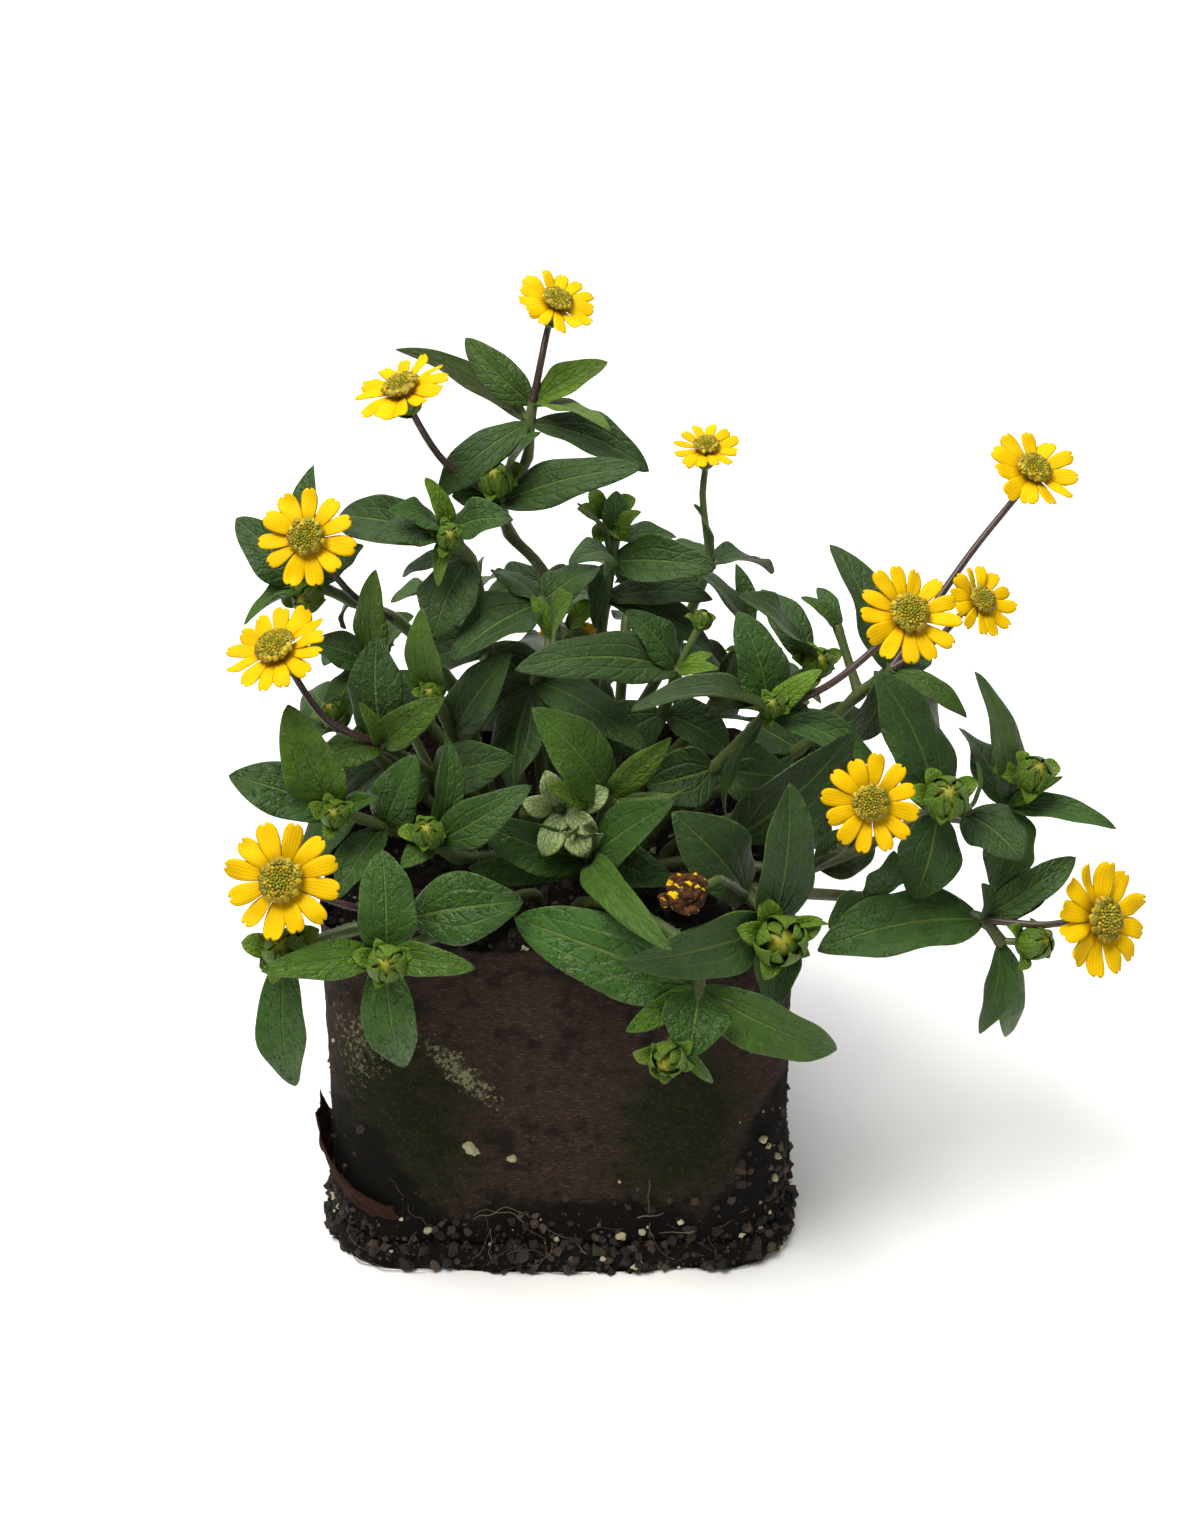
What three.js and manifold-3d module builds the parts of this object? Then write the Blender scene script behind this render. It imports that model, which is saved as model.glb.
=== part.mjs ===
// A creeping zinnia in flower, grown in a 9 cm paper sleeve of potting soil. Millimetres, +Z up.
// The origin is the middle of the block's flat underside. -Y is the front.
import * as THREE from "three";
import { mergeVertices } from "three/addons/utils/BufferGeometryUtils.js";
import Module from "manifold-3d";

const wasm = await Module();
wasm.setup();

// Driving sizes of the block
const SLEEVE_HALF = 44; // half the width of the square sleeve
const SLEEVE_CORNER = 16;
const SLEEVE_TOP = 72;
const SLEEVE_WALL = 1.4;
const FOOT_HALF = 45.8; // soil that has pushed out under the sleeve
const FOOT_TOP = 5;
const SOIL_TOP = 67;
const GAP = 0.35; // between pieces that touch

// Driving sizes of the plant
const BLADE_THICK = 0.8;
const BLADE_FOLD = 0.24; // how steeply the two halves of a blade rise from the midrib
const BLADE_SPREAD = 0.98; // share of the width in the table
const BLADE_ARCH = 0.09; // rise of the middle of a blade over its length
const STEM_R = 1.25;
const TWIG_R = 0.95;
const STALK_R = 0.8;
const MOUND_CENTRE = new THREE.Vector3(4, 0, 78); // blades face away from here

// Places on the plant are given as an onlooker in front of it and above sees them: across and up on
// the plant's middle plane (y = 0), and the depth y at which the line of sight is stopped.
const EYE = new THREE.Vector3(8, -419.8, 318.7);
const UP_SEEN = new THREE.Vector3(0, 0.4848, 0.8746);
const TO_EYE = new THREE.Vector3(0, -0.8746, 0.4848);

function seen([across, up, depth]) {
  const share = (depth - EYE.y) / -EYE.y;
  return new THREE.Vector3(across, 0, up).sub(EYE).multiplyScalar(share).add(EYE);
}

// One entry for each leafy stem. foot: x and y in the soil. joints: places, as seen. runs: stems from
// the foot or a joint on through joints. leaves: joint, tip as seen, width, roll, tone (0 grey-green,
// 1 young and bright). buds: joint, middle as seen, diameter. Tilts turn a head right and up.
const sprays = {
  "top": {
    "foot": [-2, 6],
    "joints": {"a": [-2, 126, 6], "b": [-8.5, 135, 5], "c": [-10, 141, 2], "d": [-5, 150, 5],
      "e": [-4.5, 156.5, 6], "f": [-4, 160, 7]},
    "runs": [["foot", "a", "b", "c"], ["c", "d", "e", "f"]],
    "leaves": [["f", -15.7, 172.3, 12, 7, -50, 0.6], ["f", 9.2, 168, 6, 6, 20, 0.8],
      ["e", -27, 171.3, 10, 6, 75, 0.2], ["f", 10, 155.5, -4, 6, 0, 0.8], ["e", 17, 148, 0, 8, 0, 0.2],
      ["e", -22, 142, -4, 8, 0, 0.25], ["c", -3.5, 155, -2, 9, 0, 0.5], ["c", 14.5, 148.5, -8, 9, 0, 0.15],
      ["c", -18.5, 143, -10, 8, 0, 0.25], ["a", -14, 120, 12, 10, 0, 0.2],
      ["a", 9, 120, 14, 10, 0, 0.25]],
    "buds": [["c", -11, 145.5, -1, 6]]
  },
  "crown_left": {
    "foot": [-8, 5],
    "joints": {"a": [-13, 112, -2], "b": [-16, 130, -7], "c": [-20, 135, -10]},
    "runs": [["foot", "a", "b", "c"]],
    "leaves": [["c", -8.5, 138.5, -16, 8, 0, 0.45], ["c", -33, 134.5, -16, 9, 0, 0.3],
      ["c", -23.3, 146, -10, 4.5, 30, 0.9], ["c", -30, 140, -12, 7, 20, 0.5], ["c", -22, 124.5, -17, 3.5, 0, 0.9],
      ["c", -41, 139, -4, 10, 0, 0.35], ["b", -23.5, 114, -18, 11, 0, 0.15], ["b", -29, 127, 2, 5, 0, 0.4],
      ["a", -27, 108, -2, 10, 0, 0.15], ["a", -2, 102, -2, 10, 0, 0.2]],
    "buds": [["c", -19.5, 134.5, -14, 4.5]]
  },
  "left_top": {
    "foot": [-13, 10],
    "joints": {"a": [-20, 104, 6], "b": [-30, 117.5, 4], "c": [-38, 121.5, 1], "d": [-44, 124.5, -1]},
    "runs": [["foot", "a", "b", "c", "d"]],
    "leaves": [["d", -45, 148.3, 8, 7, 0, 0.4], ["d", -58.5, 138, 4, 10, 0, 0.35], ["d", -58.5, 117, -8, 7, 0, 0.6],
      ["d", -35.5, 133, 4, 6, 0, 0.2], ["c", -40, 116, 8, 4, 0, 0.3], ["a", -32, 102, 8, 10, 0, 0.25],
      ["a", -10, 96, 8, 10, 0, 0.2]],
    "buds": [["d", -46.3, 122, -4, 5.5]]
  },
  "left_middle": {
    "foot": [-15, -1],
    "joints": {"a": [-24, 84, -9], "b": [-33.5, 91, -20], "c": [-34, 108, -7]},
    "runs": [["foot", "a", "b"], ["a", "c"]],
    "leaves": [["b", -34, 114, -16, 10.5, 0, 0.15], ["b", -22, 101, -26, 7, 0, 0.75], ["b", -37.5, 100, -24, 4, 30, 0.9],
      ["b", -46.5, 88, -24, 9, 0, 0.7], ["c", -33.7, 127.5, -8, 7, 0, 0.7], ["c", -46, 113, -8, 9, 0, 0.35],
      ["c", -44.5, 100.5, -12, 6, 0, 0.6], ["a", -10, 88, -10, 11, 0, 0.15], ["a", -36, 79, -8, 11, 0, 0.2]],
    "buds": []
  },
  "left_low": {
    "foot": [-15, -9],
    "joints": {"a": [-34, 73, -24], "b": [-43, 76.5, -27]},
    "runs": [["foot", "a", "b"]],
    "leaves": [["b", -51.3, 99.5, -26, 10.5, 0, 0.75], ["b", -63.5, 84.5, -30, 11, 0, 0.3], ["b", -35, 79.5, -32, 4, 0, 0.5],
      ["a", -27.8, 88, -28, 10, 0, 0.2], ["a", -44, 57, -36, 8, 0, 0.2]],
    "buds": [["b", -43.5, 75.8, -31, 5]]
  },
  "left_foot": {
    "foot": [-10, -16],
    "joints": {"a": [-30, 52, -44], "b": [-42, 49, -47], "c": [-55, 44, -49]},
    "runs": [["foot", "a", "b", "c"]],
    "leaves": [["c", -56, 9.5, -53, 9, 0, 0.35], ["c", -60.5, 40, -55, 4, 0, 0.8], ["c", -51, 50, -43, 5, 0, 0.7],
      ["a", -7.5, 56, -46, 13, 0, 0.4]],
    "buds": [["c", -55.5, 44.5, -53, 7]]
  },
  "front_left": {
    "foot": [-4, -21],
    "joints": {"a": [-21, 49.5, -39], "b": [-35, 43, -52]},
    "runs": [["foot", "a", "b"]],
    "leaves": [["b", -60, 39.5, -60, 7, 0, 0.8], ["b", -17.5, 40, -60, 6, 0, 0.7], ["b", -34.5, 67.5, -46, 11, 0, 0.4],
      ["b", -33, 14.5, -56, 10.5, 0, 0.55]],
    "buds": [["b", -35, 41, -56, 6.5]]
  },
  "inner_left": {
    "foot": [-8, -9],
    "joints": {"a": [-20, 66, -24], "b": [-24.5, 69, -30]},
    "runs": [["foot", "a", "b"]],
    "leaves": [["b", -20.5, 92.5, -22, 6, 75, 0.4], ["b", -5.7, 81.5, -34, 8.5, 0, 0.3], ["b", -31, 64, -36, 5, 0, 0.6]],
    "buds": [["b", -25.5, 71.5, -33, 5.5]]
  },
  "heart_left": {
    "foot": [-11, 2],
    "joints": {"a": [-20, 93, -12], "b": [-23, 101, -17]},
    "runs": [["foot", "a", "b"]],
    "leaves": [["b", -25.3, 119.5, -17, 8, 0, 0.65], ["b", -30, 107, -18, 3.5, 0, 0.5], ["a", -9.5, 110, -20, 10, 0, 0.2]],
    "buds": [["b", -24, 102, -21, 4]]
  },
  "heart": {
    "foot": [-2, -1],
    "joints": {"a": [-4, 105, -8], "b": [0, 113, -12], "c": [-3, 121, -8]},
    "runs": [["foot", "a", "b", "c"]],
    "leaves": [["c", -20, 109.5, -20, 12, 0, 0.25], ["b", 2, 122.5, -20, 11, 0, 0.75], ["b", -4.5, 122.5, -18, 4, 0, 0.8],
      ["a", -9, 79, -26, 13, 0, 0.35], ["a", 16.5, 91, -22, 10, 0, 0.15], ["a", -17, 95, -6, 10, 0, 0.15], ["c", 8, 128.5, 2, 9, 0, 0.3], ["c", -12, 128, 0, 9, 0, 0.35]],
    "buds": []
  },
  "crown_right": {
    "foot": [4, 6],
    "joints": {"a": [9, 122, 0], "b": [10, 129.5, 0], "c": [10.5, 134, 1]},
    "runs": [["foot", "a", "b", "c"]],
    "leaves": [["b", 4.3, 141.5, -3, 4.5, 60, 0.85], ["c", 11, 143.5, 5, 5, 0, 0.5], ["c", 15, 139.5, -1, 5, 0, 0.85],
      ["c", 22, 134.5, 5, 7, 0, 0.3], ["b", 29, 128.5, -3, 9, 0, 0.3], ["b", 20.5, 127, -9, 5, 0, 0.85],
      ["b", 2.8, 129.5, -8, 7, 0, 0.25], ["b", 7, 114.5, -12, 6, 0, 0.5], ["a", 29, 122.5, 2, 8, 0, 0.12],
      ["a", 30, 112, -8, 8, 0, 0.25]],
    "buds": []
  },
  "heart_right": {
    "foot": [9, -1],
    "joints": {"a": [20, 98, -7], "b": [22.5, 107, -11]},
    "runs": [["foot", "a", "b"]],
    "leaves": [["b", -6.5, 109, -24, 10, 0, 0.1], ["b", 13.5, 119.5, -12, 8.5, 0, 0.45], ["b", 29, 110.5, -12, 4, 0, 0.85],
      ["b", 30, 107.5, -18, 3.5, 0, 0.8], ["a", 8, 90, -10, 11, 0, 0.2], ["a", 33, 90, -8, 10, 0, 0.2]],
    "buds": [["b", 27, 117.5, -9, 3.5]]
  },
  "right_middle": {
    "foot": [15, -6],
    "joints": {"a": [30, 86, -14], "b": [40, 98, -19]},
    "runs": [["foot", "a", "b"]],
    "leaves": [["b", 34.5, 119, -16, 10, 0, 0.4], ["b", 29.8, 98, -28, 5.5, 0, 0.8], ["b", 49.5, 107, -22, 5.5, 0, 0.85],
      ["b", 47.5, 99, -26, 5, 0, 0.3], ["b", 31, 76, -26, 9, 75, 0.3], ["b", 10, 100.5, -33, 13, 0, 0.12],
      ["b", 62, 86.5, -24, 8, 0, 0.5], ["a", 17, 82, -18, 12, 0, 0.2], ["a", 44, 84, -12, 12, 0, 0.2]],
    "buds": [["b", 40.5, 99.5, -23, 4.5]]
  },
  "right_top": {
    "foot": [12, 9],
    "joints": {"a": [30, 100, 8], "b": [35.5, 114, 5], "c": [47.5, 107, 1]},
    "runs": [["foot", "a", "b"], ["a", "c"]],
    "leaves": [["c", 34, 122.5, -6, 12, 20, 0.2], ["c", 38, 124, 8, 7, 0, 0.2], ["b", 25, 129, -2, 9, 0, 0.15],
      ["b", 33.3, 129, 10, 5, 0, 0.5], ["a", 42, 112, 14, 10, 0, 0.2], ["a", 24, 113, 12, 10, 0, 0.25]],
    "buds": [["c", 49, 108.5, -3, 5.5]]
  },
  "right_shoulder": {
    "foot": [18, 2],
    "joints": {"a": [46, 90, -2], "b": [57, 102, -6], "c": [62.5, 107, -8], "d": [52.5, 115.5, 0]},
    "runs": [["foot", "a", "b", "c"], ["b", "d"]],
    "leaves": [["c", 78, 97.5, -14, 6, 0, 0.6], ["c", 70.5, 109.5, -2, 5, 0, 0.5], ["c", 50.5, 133, 2, 11, 0, 0.25],
      ["c", 57, 91, -6, 8, 0, 0.1], ["c", 73.5, 89, 2, 9, 0, 0.15], ["d", 45.5, 122.5, 2, 4, 0, 0.6],
      ["d", 48.3, 124.5, 6, 4, 0, 0.5], ["a", 59, 98, 6, 10, 0, 0.2], ["a", 44, 74, -6, 12, 0, 0.2],
      ["a", 36, 96, 6, 10, 0, 0.2]],
    "buds": []
  },
  "back_stalk": {
    "foot": [6, 15],
    "joints": {"a": [22, 112, 16], "b": [28.3, 129, 15]},
    "runs": [["foot", "a", "b"]],
    "leaves": [["b", 25.5, 141, 15, 8, 0, 0.35], ["b", 40, 128, 26, 9, 0, 0.4], ["b", 16, 130, 28, 9, 0, 0.3],
      ["a", 34, 98, 32, 11, 0, 0.3], ["a", 10, 112, 32, 11, 0, 0.35], ["b", 20, 120, 24, 9, 0, 0.25],
      ["a", 8, 122, 12, 10, 0, 0.2]],
    "buds": []
  },
  "right_rim": {
    "foot": [11, -20],
    "joints": {"a": [34, 70, -26], "b": [37, 57, -35], "c": [42.5, 50.5, -42]},
    "runs": [["foot", "b", "c"], ["b", "a"]],
    "leaves": [["a", 56.5, 92.5, -34, 15, 0, 0.15], ["b", 22.3, 76, -42, 13, 0, 0.15], ["c", 45, 82, -42, 12, 0, 0.3],
      ["c", 13, 41, -61, 12, 0, 0.2], ["c", 43, 29, -50, 9, 0, 0.4], ["c", 53.5, 50.5, -50, 3, 0, 0.8]],
    "buds": [["c", 44, 46.5, -50, 9]]
  },
  "front": {
    "foot": [4, -24],
    "joints": {"a": [24, 46.5, -44], "b": [28, 35, -50], "c": [23, 21.5, -57]},
    "runs": [["foot", "a", "b", "c"]],
    "leaves": [["b", -9, 52, -44, 15, 0, 0.35], ["b", 13.5, 24.5, -56, 5.5, 0, 0.85], ["b", 26, 18, -60, 12, 0, 0.3],
      ["b", 62, 16, -52, 13, 0, 0.6], ["c", 20.5, 12.5, -61, 3.5, 0, 0.9], ["c", 31.5, 11.5, -58, 3, 0, 0.8]],
    "buds": [["c", 21.8, 17.5, -59, 6.5]]
  },
  "inner_front": {
    "foot": [2, -12],
    "joints": {"a": [6, 65.5, -26], "b": [9.5, 79.5, -24]},
    "runs": [["foot", "a", "b"]],
    "leaves": [["b", -3.5, 98.5, -30, 12, 0, 0.6], ["b", 21.5, 92.5, -28, 6, 20, 0.85], ["b", 25.5, 81.5, -34, 4.5, 160, 0.9],
      ["b", -2, 82, -34, 6, 0, 0.85], ["a", -7.5, 77.5, -38, 10, 150, 0.95], ["a", -16, 73.5, -34, 10, 0, 0.35],
      ["a", 22, 78.5, -34, 11, 0, 0.25], ["a", 22, 60.5, -34, 10, 0, 0.25], ["a", 19.5, 46.5, -48, 7, 0, 0.6],
      ["a", -18, 63, -27, 7, 0, 0.5]],
    "buds": []
  },
  "right_arm": {
    "foot": [19, -11],
    "joints": {"a": [50, 64, -22], "b": [73.5, 76, -24], "c": [79, 76, -22]},
    "runs": [["foot", "a", "b", "c"]],
    "leaves": [["a", 62, 70, -16, 10, 0, 0.2], ["b", 61, 107, -18, 14, 0, 0.4], ["b", 70.5, 56, -34, 12, 0, 0.5], ["c", 91, 65.5, -32, 12, 0, 0.2],
      ["c", 81, 87, -28, 3.5, 0, 0.8]],
    "buds": [["b", 75, 79.3, -30, 7.5]]
  },
  "right_back": {
    "foot": [21, -5],
    "joints": {"a": [46, 78, -9], "b": [80, 75, -14], "c": [87, 77.5, -13]},
    "runs": [["foot", "a", "b", "c"]],
    "leaves": [["c", 80, 106.5, -10, 10, 0, 0.6], ["c", 76.5, 95, -4, 10, 0, 0.15], ["c", 108.5, 73.5, -20, 7, 0, 0.45],
      ["c", 86, 58.5, -22, 13, 0, 0.55], ["c", 96.5, 84, -20, 3, 0, 0.7],
      ["a", 58, 86, -4, 11, 0, 0.2], ["a", 52, 68, -14, 11, 0, 0.2]],
    "buds": [["c", 91.5, 84.5, -16, 6.5]]
  },
  "far_right": {
    "foot": [16, -17],
    "joints": {"a": [42, 58, -32], "b": [61, 56.5, -27], "c": [84, 51.5, -30], "d": [88, 46.5, -32]},
    "runs": [["foot", "a", "b", "c", "d"]],
    "leaves": [["c", 52, 45.5, -40, 14, 0, 0.35], ["c", 84, 59.5, -34, 6, 0, 0.4], ["c", 97, 63, -22, 8, 0, 0.3],
      ["c", 101.5, 66, -16, 7, 0, 0.2], ["d", 86, 23.5, -36, 6.5, 0, 0.5], ["d", 92, 22, -30, 6.5, 0, 0.55],
      ["b", 66, 67, -32, 8, 0, 0.35], ["b", 54, 49.5, -36, 8, 0, 0.3]],
    "buds": [["d", 95, 46, -34, 6]]
  }
};

// Each flower head: spray, joint, a place its stalk passes, the middle of the head as seen, radius,
// number of rays, and the tilt of its face from the onlooker to the right and up.
const blooms = [
  ["top", "f", [-2.4, 168, 8], [0.3, 178.5, 9], 7.6, 13, 18, 36],
  ["top", "c", [-20, 149, -2], [-27, 162.5, -6], 8.8, 12, -24, 42],
  ["left_top", "b", [-38, 122.8, -3], [-45.5, 134, -9], 9.2, 11, -4, 8],
  ["left_middle", "b", [-44, 96.5, -23], [-52.3, 111.2, -23], 9.9, 13, -20, 34],
  ["left_foot", "a", [-44, 55.5, -50], [-54.6, 60.6, -53], 10.5, 12, -6, 6],
  ["back_stalk", "b", [26.6, 143, 17], [27, 151.5, 17], 6.5, 12, 0, 40],
  ["right_shoulder", "c", [76, 131, 4], [86, 147, 6], 8.8, 11, 16, 30],
  ["right_middle", "b", [52, 104.5, -23], [65.2, 118.4, -25], 9.8, 13, 12, 18],
  ["right_shoulder", "c", [71, 113.5, -6], [78.4, 121.3, -4], 7.2, 12, 26, 18],
  ["right_arm", "a", [56, 69, -33], [60.4, 78.2, -39], 9, 12, 0, 2],
  ["far_right", "c", [97, 50.3, -33], [107.4, 51.5, -36], 11.2, 12, 34, 4]
];

// The withered head: spray, joint, a place its stalk passes, middle as seen, radius
const withered = ["right_rim", "b", [31, 61, -46], [25, 57, -52], 4.2];

// Shoots on the far side: direction, reach, height of the top joint, foot x and y, flower or not
const rearShoots = [
  [10, 44, 92, 26, 4, false], [37, 46, 93, 20, 14, false], [65, 38, 106, 11, 22, false],
  [92, 42, 97, 1, 24, true], [119, 39, 105, -8, 21, false], [146, 42, 97, -17, 16, false],
  [174, 42, 92, -21, 4, false]
];

function seeded(seed) {
  let state = seed;
  return () => {
    state = (state * 16807) % 2147483647;
    return (state - 1) / 2147483646;
  };
}

const radians = THREE.MathUtils.degToRad;
const place = (p) => (p.isVector3 ? p.clone() : seen(p));

// Solids from corner points and triangles, joined or cut
function shell(points, triangles) {
  const geometry = new THREE.BufferGeometry();
  geometry.setAttribute("position", new THREE.Float32BufferAttribute(points.flatMap((p) => [p.x, p.y, p.z]), 3));
  geometry.setIndex(triangles.flat());
  return geometry;
}

function toManifold(geometry) {
  const bare = new THREE.BufferGeometry();
  bare.setAttribute("position", geometry.getAttribute("position"));
  if (geometry.index) bare.setIndex(geometry.index);
  const merged = mergeVertices(bare, 1e-4);
  const mesh = new wasm.Mesh({
    numProp: 3,
    vertProperties: new Float32Array(merged.getAttribute("position").array),
    triVerts: new Uint32Array(merged.index.array)
  });
  return new wasm.Manifold(mesh);
}

function toGeometry(manifold) {
  const mesh = manifold.getMesh();
  const geometry = new THREE.BufferGeometry();
  geometry.setAttribute("position", new THREE.Float32BufferAttribute(mesh.vertProperties, 3));
  geometry.setIndex(new THREE.Uint32BufferAttribute(mesh.triVerts, 1));
  return geometry;
}

function fuse(geometries) {
  const solids = geometries.map(toManifold);
  const whole = wasm.Manifold.union(solids).simplify(0.05);
  return whole.decompose().sort((a, b) => b.volume() - a.volume())[0];
}

function paint(color, roughness, metalness = 0) {
  return new THREE.MeshStandardMaterial({ color, roughness, metalness });
}

const part = new THREE.Group();
part.name = "potted_creeping_zinnia";

function add(name, manifold, material) {
  const mesh = new THREE.Mesh(toGeometry(manifold), material);
  mesh.name = name;
  part.add(mesh);
}

// A stem runs along a chain of short straight pieces, which passes every joint exactly
class Chain extends THREE.Curve {
  constructor(corners) {
    super();
    this.corners = corners;
  }

  getPoint(t, target = new THREE.Vector3()) {
    const pieces = this.corners.length - 1;
    const i = Math.min(pieces - 1, Math.max(0, Math.floor(t * pieces)));
    return target.lerpVectors(this.corners[i], this.corners[i + 1], t * pieces - i);
  }

  getPointAt(t, target) {
    return this.getPoint(t, target);
  }

  getTangentAt(t, target) {
    return this.getTangent(t, target);
  }
}

function chainOf(points, piece) {
  const curve = new THREE.CatmullRomCurve3(points);
  const corners = [points[0]];
  for (let i = 0; i + 1 < points.length; i++) {
    const count = Math.max(1, Math.round(points[i].distanceTo(points[i + 1]) / piece));
    for (let k = 1; k <= count; k++) corners.push(curve.getPoint((i + k / count) / (points.length - 1)));
  }
  return corners;
}

function stemChain(points) {
  const last = points[points.length - 1];
  const past = last.clone().sub(points[points.length - 2]).setLength(1.2).add(last);
  return [...chainOf(points, 14), past];
}

function stem(points, radius, sides) {
  const chain = stemChain(points);
  const corners = [];
  for (let i = 0; i < sides; i++) {
    const turn = (2 * Math.PI * i) / sides;
    corners.push(new THREE.Vector2(radius * Math.cos(turn), radius * Math.sin(turn)));
  }
  const steps = chain.length - 1;
  const extrudePath = new Chain(chain);
  return new THREE.ExtrudeGeometry(new THREE.Shape(corners), { steps, bevelEnabled: false, extrudePath });
}

function knob(at, radius) {
  return new THREE.OctahedronGeometry(radius, 0).translate(at.x, at.y, at.z);
}

// A blade: elliptic outline with a waved edge, folded along the midrib and arched
function makeBlade(joint, tip, width, roll, phase) {
  const along = tip.clone().sub(joint).normalize();
  const base = joint.clone().addScaledVector(along, 0.2);
  const length = tip.distanceTo(base);
  const middle = base.clone().add(tip).multiplyScalar(0.5);
  const face = middle.clone().sub(MOUND_CENTRE).normalize().multiplyScalar(0.6);
  face.z += 0.6;
  if (middle.y < 14) face.addScaledVector(TO_EYE, 0.9);
  face.addScaledVector(along, -face.dot(along)).normalize();
  face.applyAxisAngle(along, radians(roll));
  const side = along.clone().cross(face);
  return { base, along, face, side, length, width: width * BLADE_SPREAD, phase };
}

function halfWidth(blade, t) {
  const body = Math.pow(Math.sin(Math.PI * Math.pow(Math.min(t, 0.999), 0.85)), 0.65);
  return Math.max(0.55, 0.5 * blade.width * body * (1 + 0.06 * Math.sin(9 * t + blade.phase)));
}

function bladePoint(blade, t, s) {
  const half = halfWidth(blade, t);
  const ripple = 0.1 * s * s * half * Math.sin(6 * t + blade.phase + (s > 0 ? 1.7 : 0));
  const lift = BLADE_ARCH * blade.length * 4 * t * (1 - t) + Math.abs(s) * half * BLADE_FOLD + ripple;
  return blade.base.clone()
    .addScaledVector(blade.along, t * blade.length)
    .addScaledVector(blade.face, lift)
    .addScaledVector(blade.side, s * half);
}

function bladeRows(blade) {
  const area = blade.length * blade.width;
  if (area < 90) return [0.45];
  return area < 300 ? [0.34, 0.7] : [0.24, 0.5, 0.77];
}

function bladeSolid(blade) {
  const rows = bladeRows(blade);
  const onRoot = (side, face) => blade.base.clone().addScaledVector(blade.side, side).addScaledVector(blade.face, face);
  const points = [onRoot(-0.5, 0.3), onRoot(0.5, 0.3), onRoot(0, -0.4)];
  const under = 3 * rows.length + 1;
  for (const level of [BLADE_THICK / 2, -BLADE_THICK / 2]) {
    for (const t of rows) {
      for (const s of [-1, 0, 1]) points.push(bladePoint(blade, t, s).addScaledVector(blade.face, level));
    }
    points.push(bladePoint(blade, 1, 0).addScaledVector(blade.face, level));
  }
  const below = 3 + under;
  const triangles = [[0, 1, 4], [0, 4, 3], [1, 5, 4], [2, below + 2, 1], [1, below + 2, 5],
    [2, 0, below], [0, 3, below], [2, below + 1, below + 2], [2, below, below + 1], [2, 1, 0]];
  const both = (a, b, c) => {
    triangles.push([a, b, c]);
    triangles.push([a + under, c + under, b + under]);
  };
  const wall = (a, b) => {
    triangles.push([a, a + under, b]);
    triangles.push([b, a + under, b + under]);
  };
  for (let i = 0; i + 1 < rows.length; i++) {
    const row = 3 + 3 * i;
    both(row, row + 1, row + 3);
    both(row + 1, row + 4, row + 3);
    both(row + 1, row + 2, row + 4);
    both(row + 2, row + 5, row + 4);
    wall(row + 3, row);
    wall(row + 2, row + 5);
  }
  const last = 3 * rows.length;
  const end = last + 3;
  both(last, last + 1, end);
  both(last + 1, last + 2, end);
  wall(end, last);
  wall(last + 2, end);
  return shell(points, triangles);
}

// A flower head: a frame in its face, notched rays on a plate, a domed disc, a cup on the stalk
function headFrame(centre, right, up) {
  const a = radians(right);
  const b = radians(up);
  const normal = TO_EYE.clone().multiplyScalar(Math.cos(a) * Math.cos(b))
    .add(new THREE.Vector3(Math.sin(a) * Math.cos(b), 0, 0))
    .addScaledVector(UP_SEEN, Math.sin(b));
  const x = UP_SEEN.clone().cross(normal).normalize();
  const y = normal.clone().cross(x);
  return { centre, x, y, normal };
}

function inHead(frame, x, y, z) {
  return frame.centre.clone().addScaledVector(frame.x, x).addScaledVector(frame.y, y).addScaledVector(frame.normal, z);
}

// The rays as one star: each grows from its own chord of the ring round the disc
function star(frame, radius, count, random) {
  const disc = discRadius(radius);
  const points = [];
  const triangles = [];
  const roots = [];
  for (let i = 0; i < count; i++) roots.push((2 * Math.PI * (i + 0.25 * random())) / count);
  const spokes = roots.map((root, i) => {
    const next = i + 1 < count ? roots[i + 1] : roots[0] + 2 * Math.PI;
    const width = (3.9 * radius) / count;
    const reach = radius * (0.92 + 0.1 * random());
    const lift = 0.35 + 0.75 * random();
    return { turn: (root + next) / 2, root, width, reach, lift };
  });
  const at = (turn, r, sideways, z) => inHead(frame, r * Math.cos(turn) - sideways * Math.sin(turn),
    r * Math.sin(turn) + sideways * Math.cos(turn), z);
  for (const level of [0.35, -0.35]) {
    points.push(at(0, 0, 0, level));
    for (const { turn, root, width, reach, lift } of spokes) {
      points.push(at(root, disc * 1.05, 0, level));
      points.push(at(turn, radius * 0.7, -0.5 * width, level + lift));
      const rise = (0.2 * lift) / (reach - radius * 0.7);
      points.push(at(turn, reach, -0.28 * width, level + 1.2 * lift));
      points.push(at(turn, reach - 0.3, 0.28 * width, level + 1.2 * lift - 0.3 * rise));
      points.push(at(turn, radius * 0.7, 0.5 * width, level + lift));
    }
  }
  const n = 5 * count + 1;
  const both = (a, b, c) => {
    triangles.push([a, b, c]);
    triangles.push([a + n, c + n, b + n]);
  };
  for (let i = 0; i < count; i++) {
    const k = 1 + 5 * i;
    const next = 1 + 5 * ((i + 1) % count);
    both(0, k, next);
    both(k, k + 1, k + 4);
    both(k, k + 4, next);
    both(k + 1, k + 3, k + 4);
    both(k + 1, k + 2, k + 3);
    for (const [a, b] of [[k, k + 1], [k + 1, k + 2], [k + 2, k + 3], [k + 3, k + 4], [k + 4, next]]) {
      triangles.push([a, a + n, b]);
      triangles.push([b, a + n, b + n]);
    }
  }
  return toManifold(shell(points, triangles));
}

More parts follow.
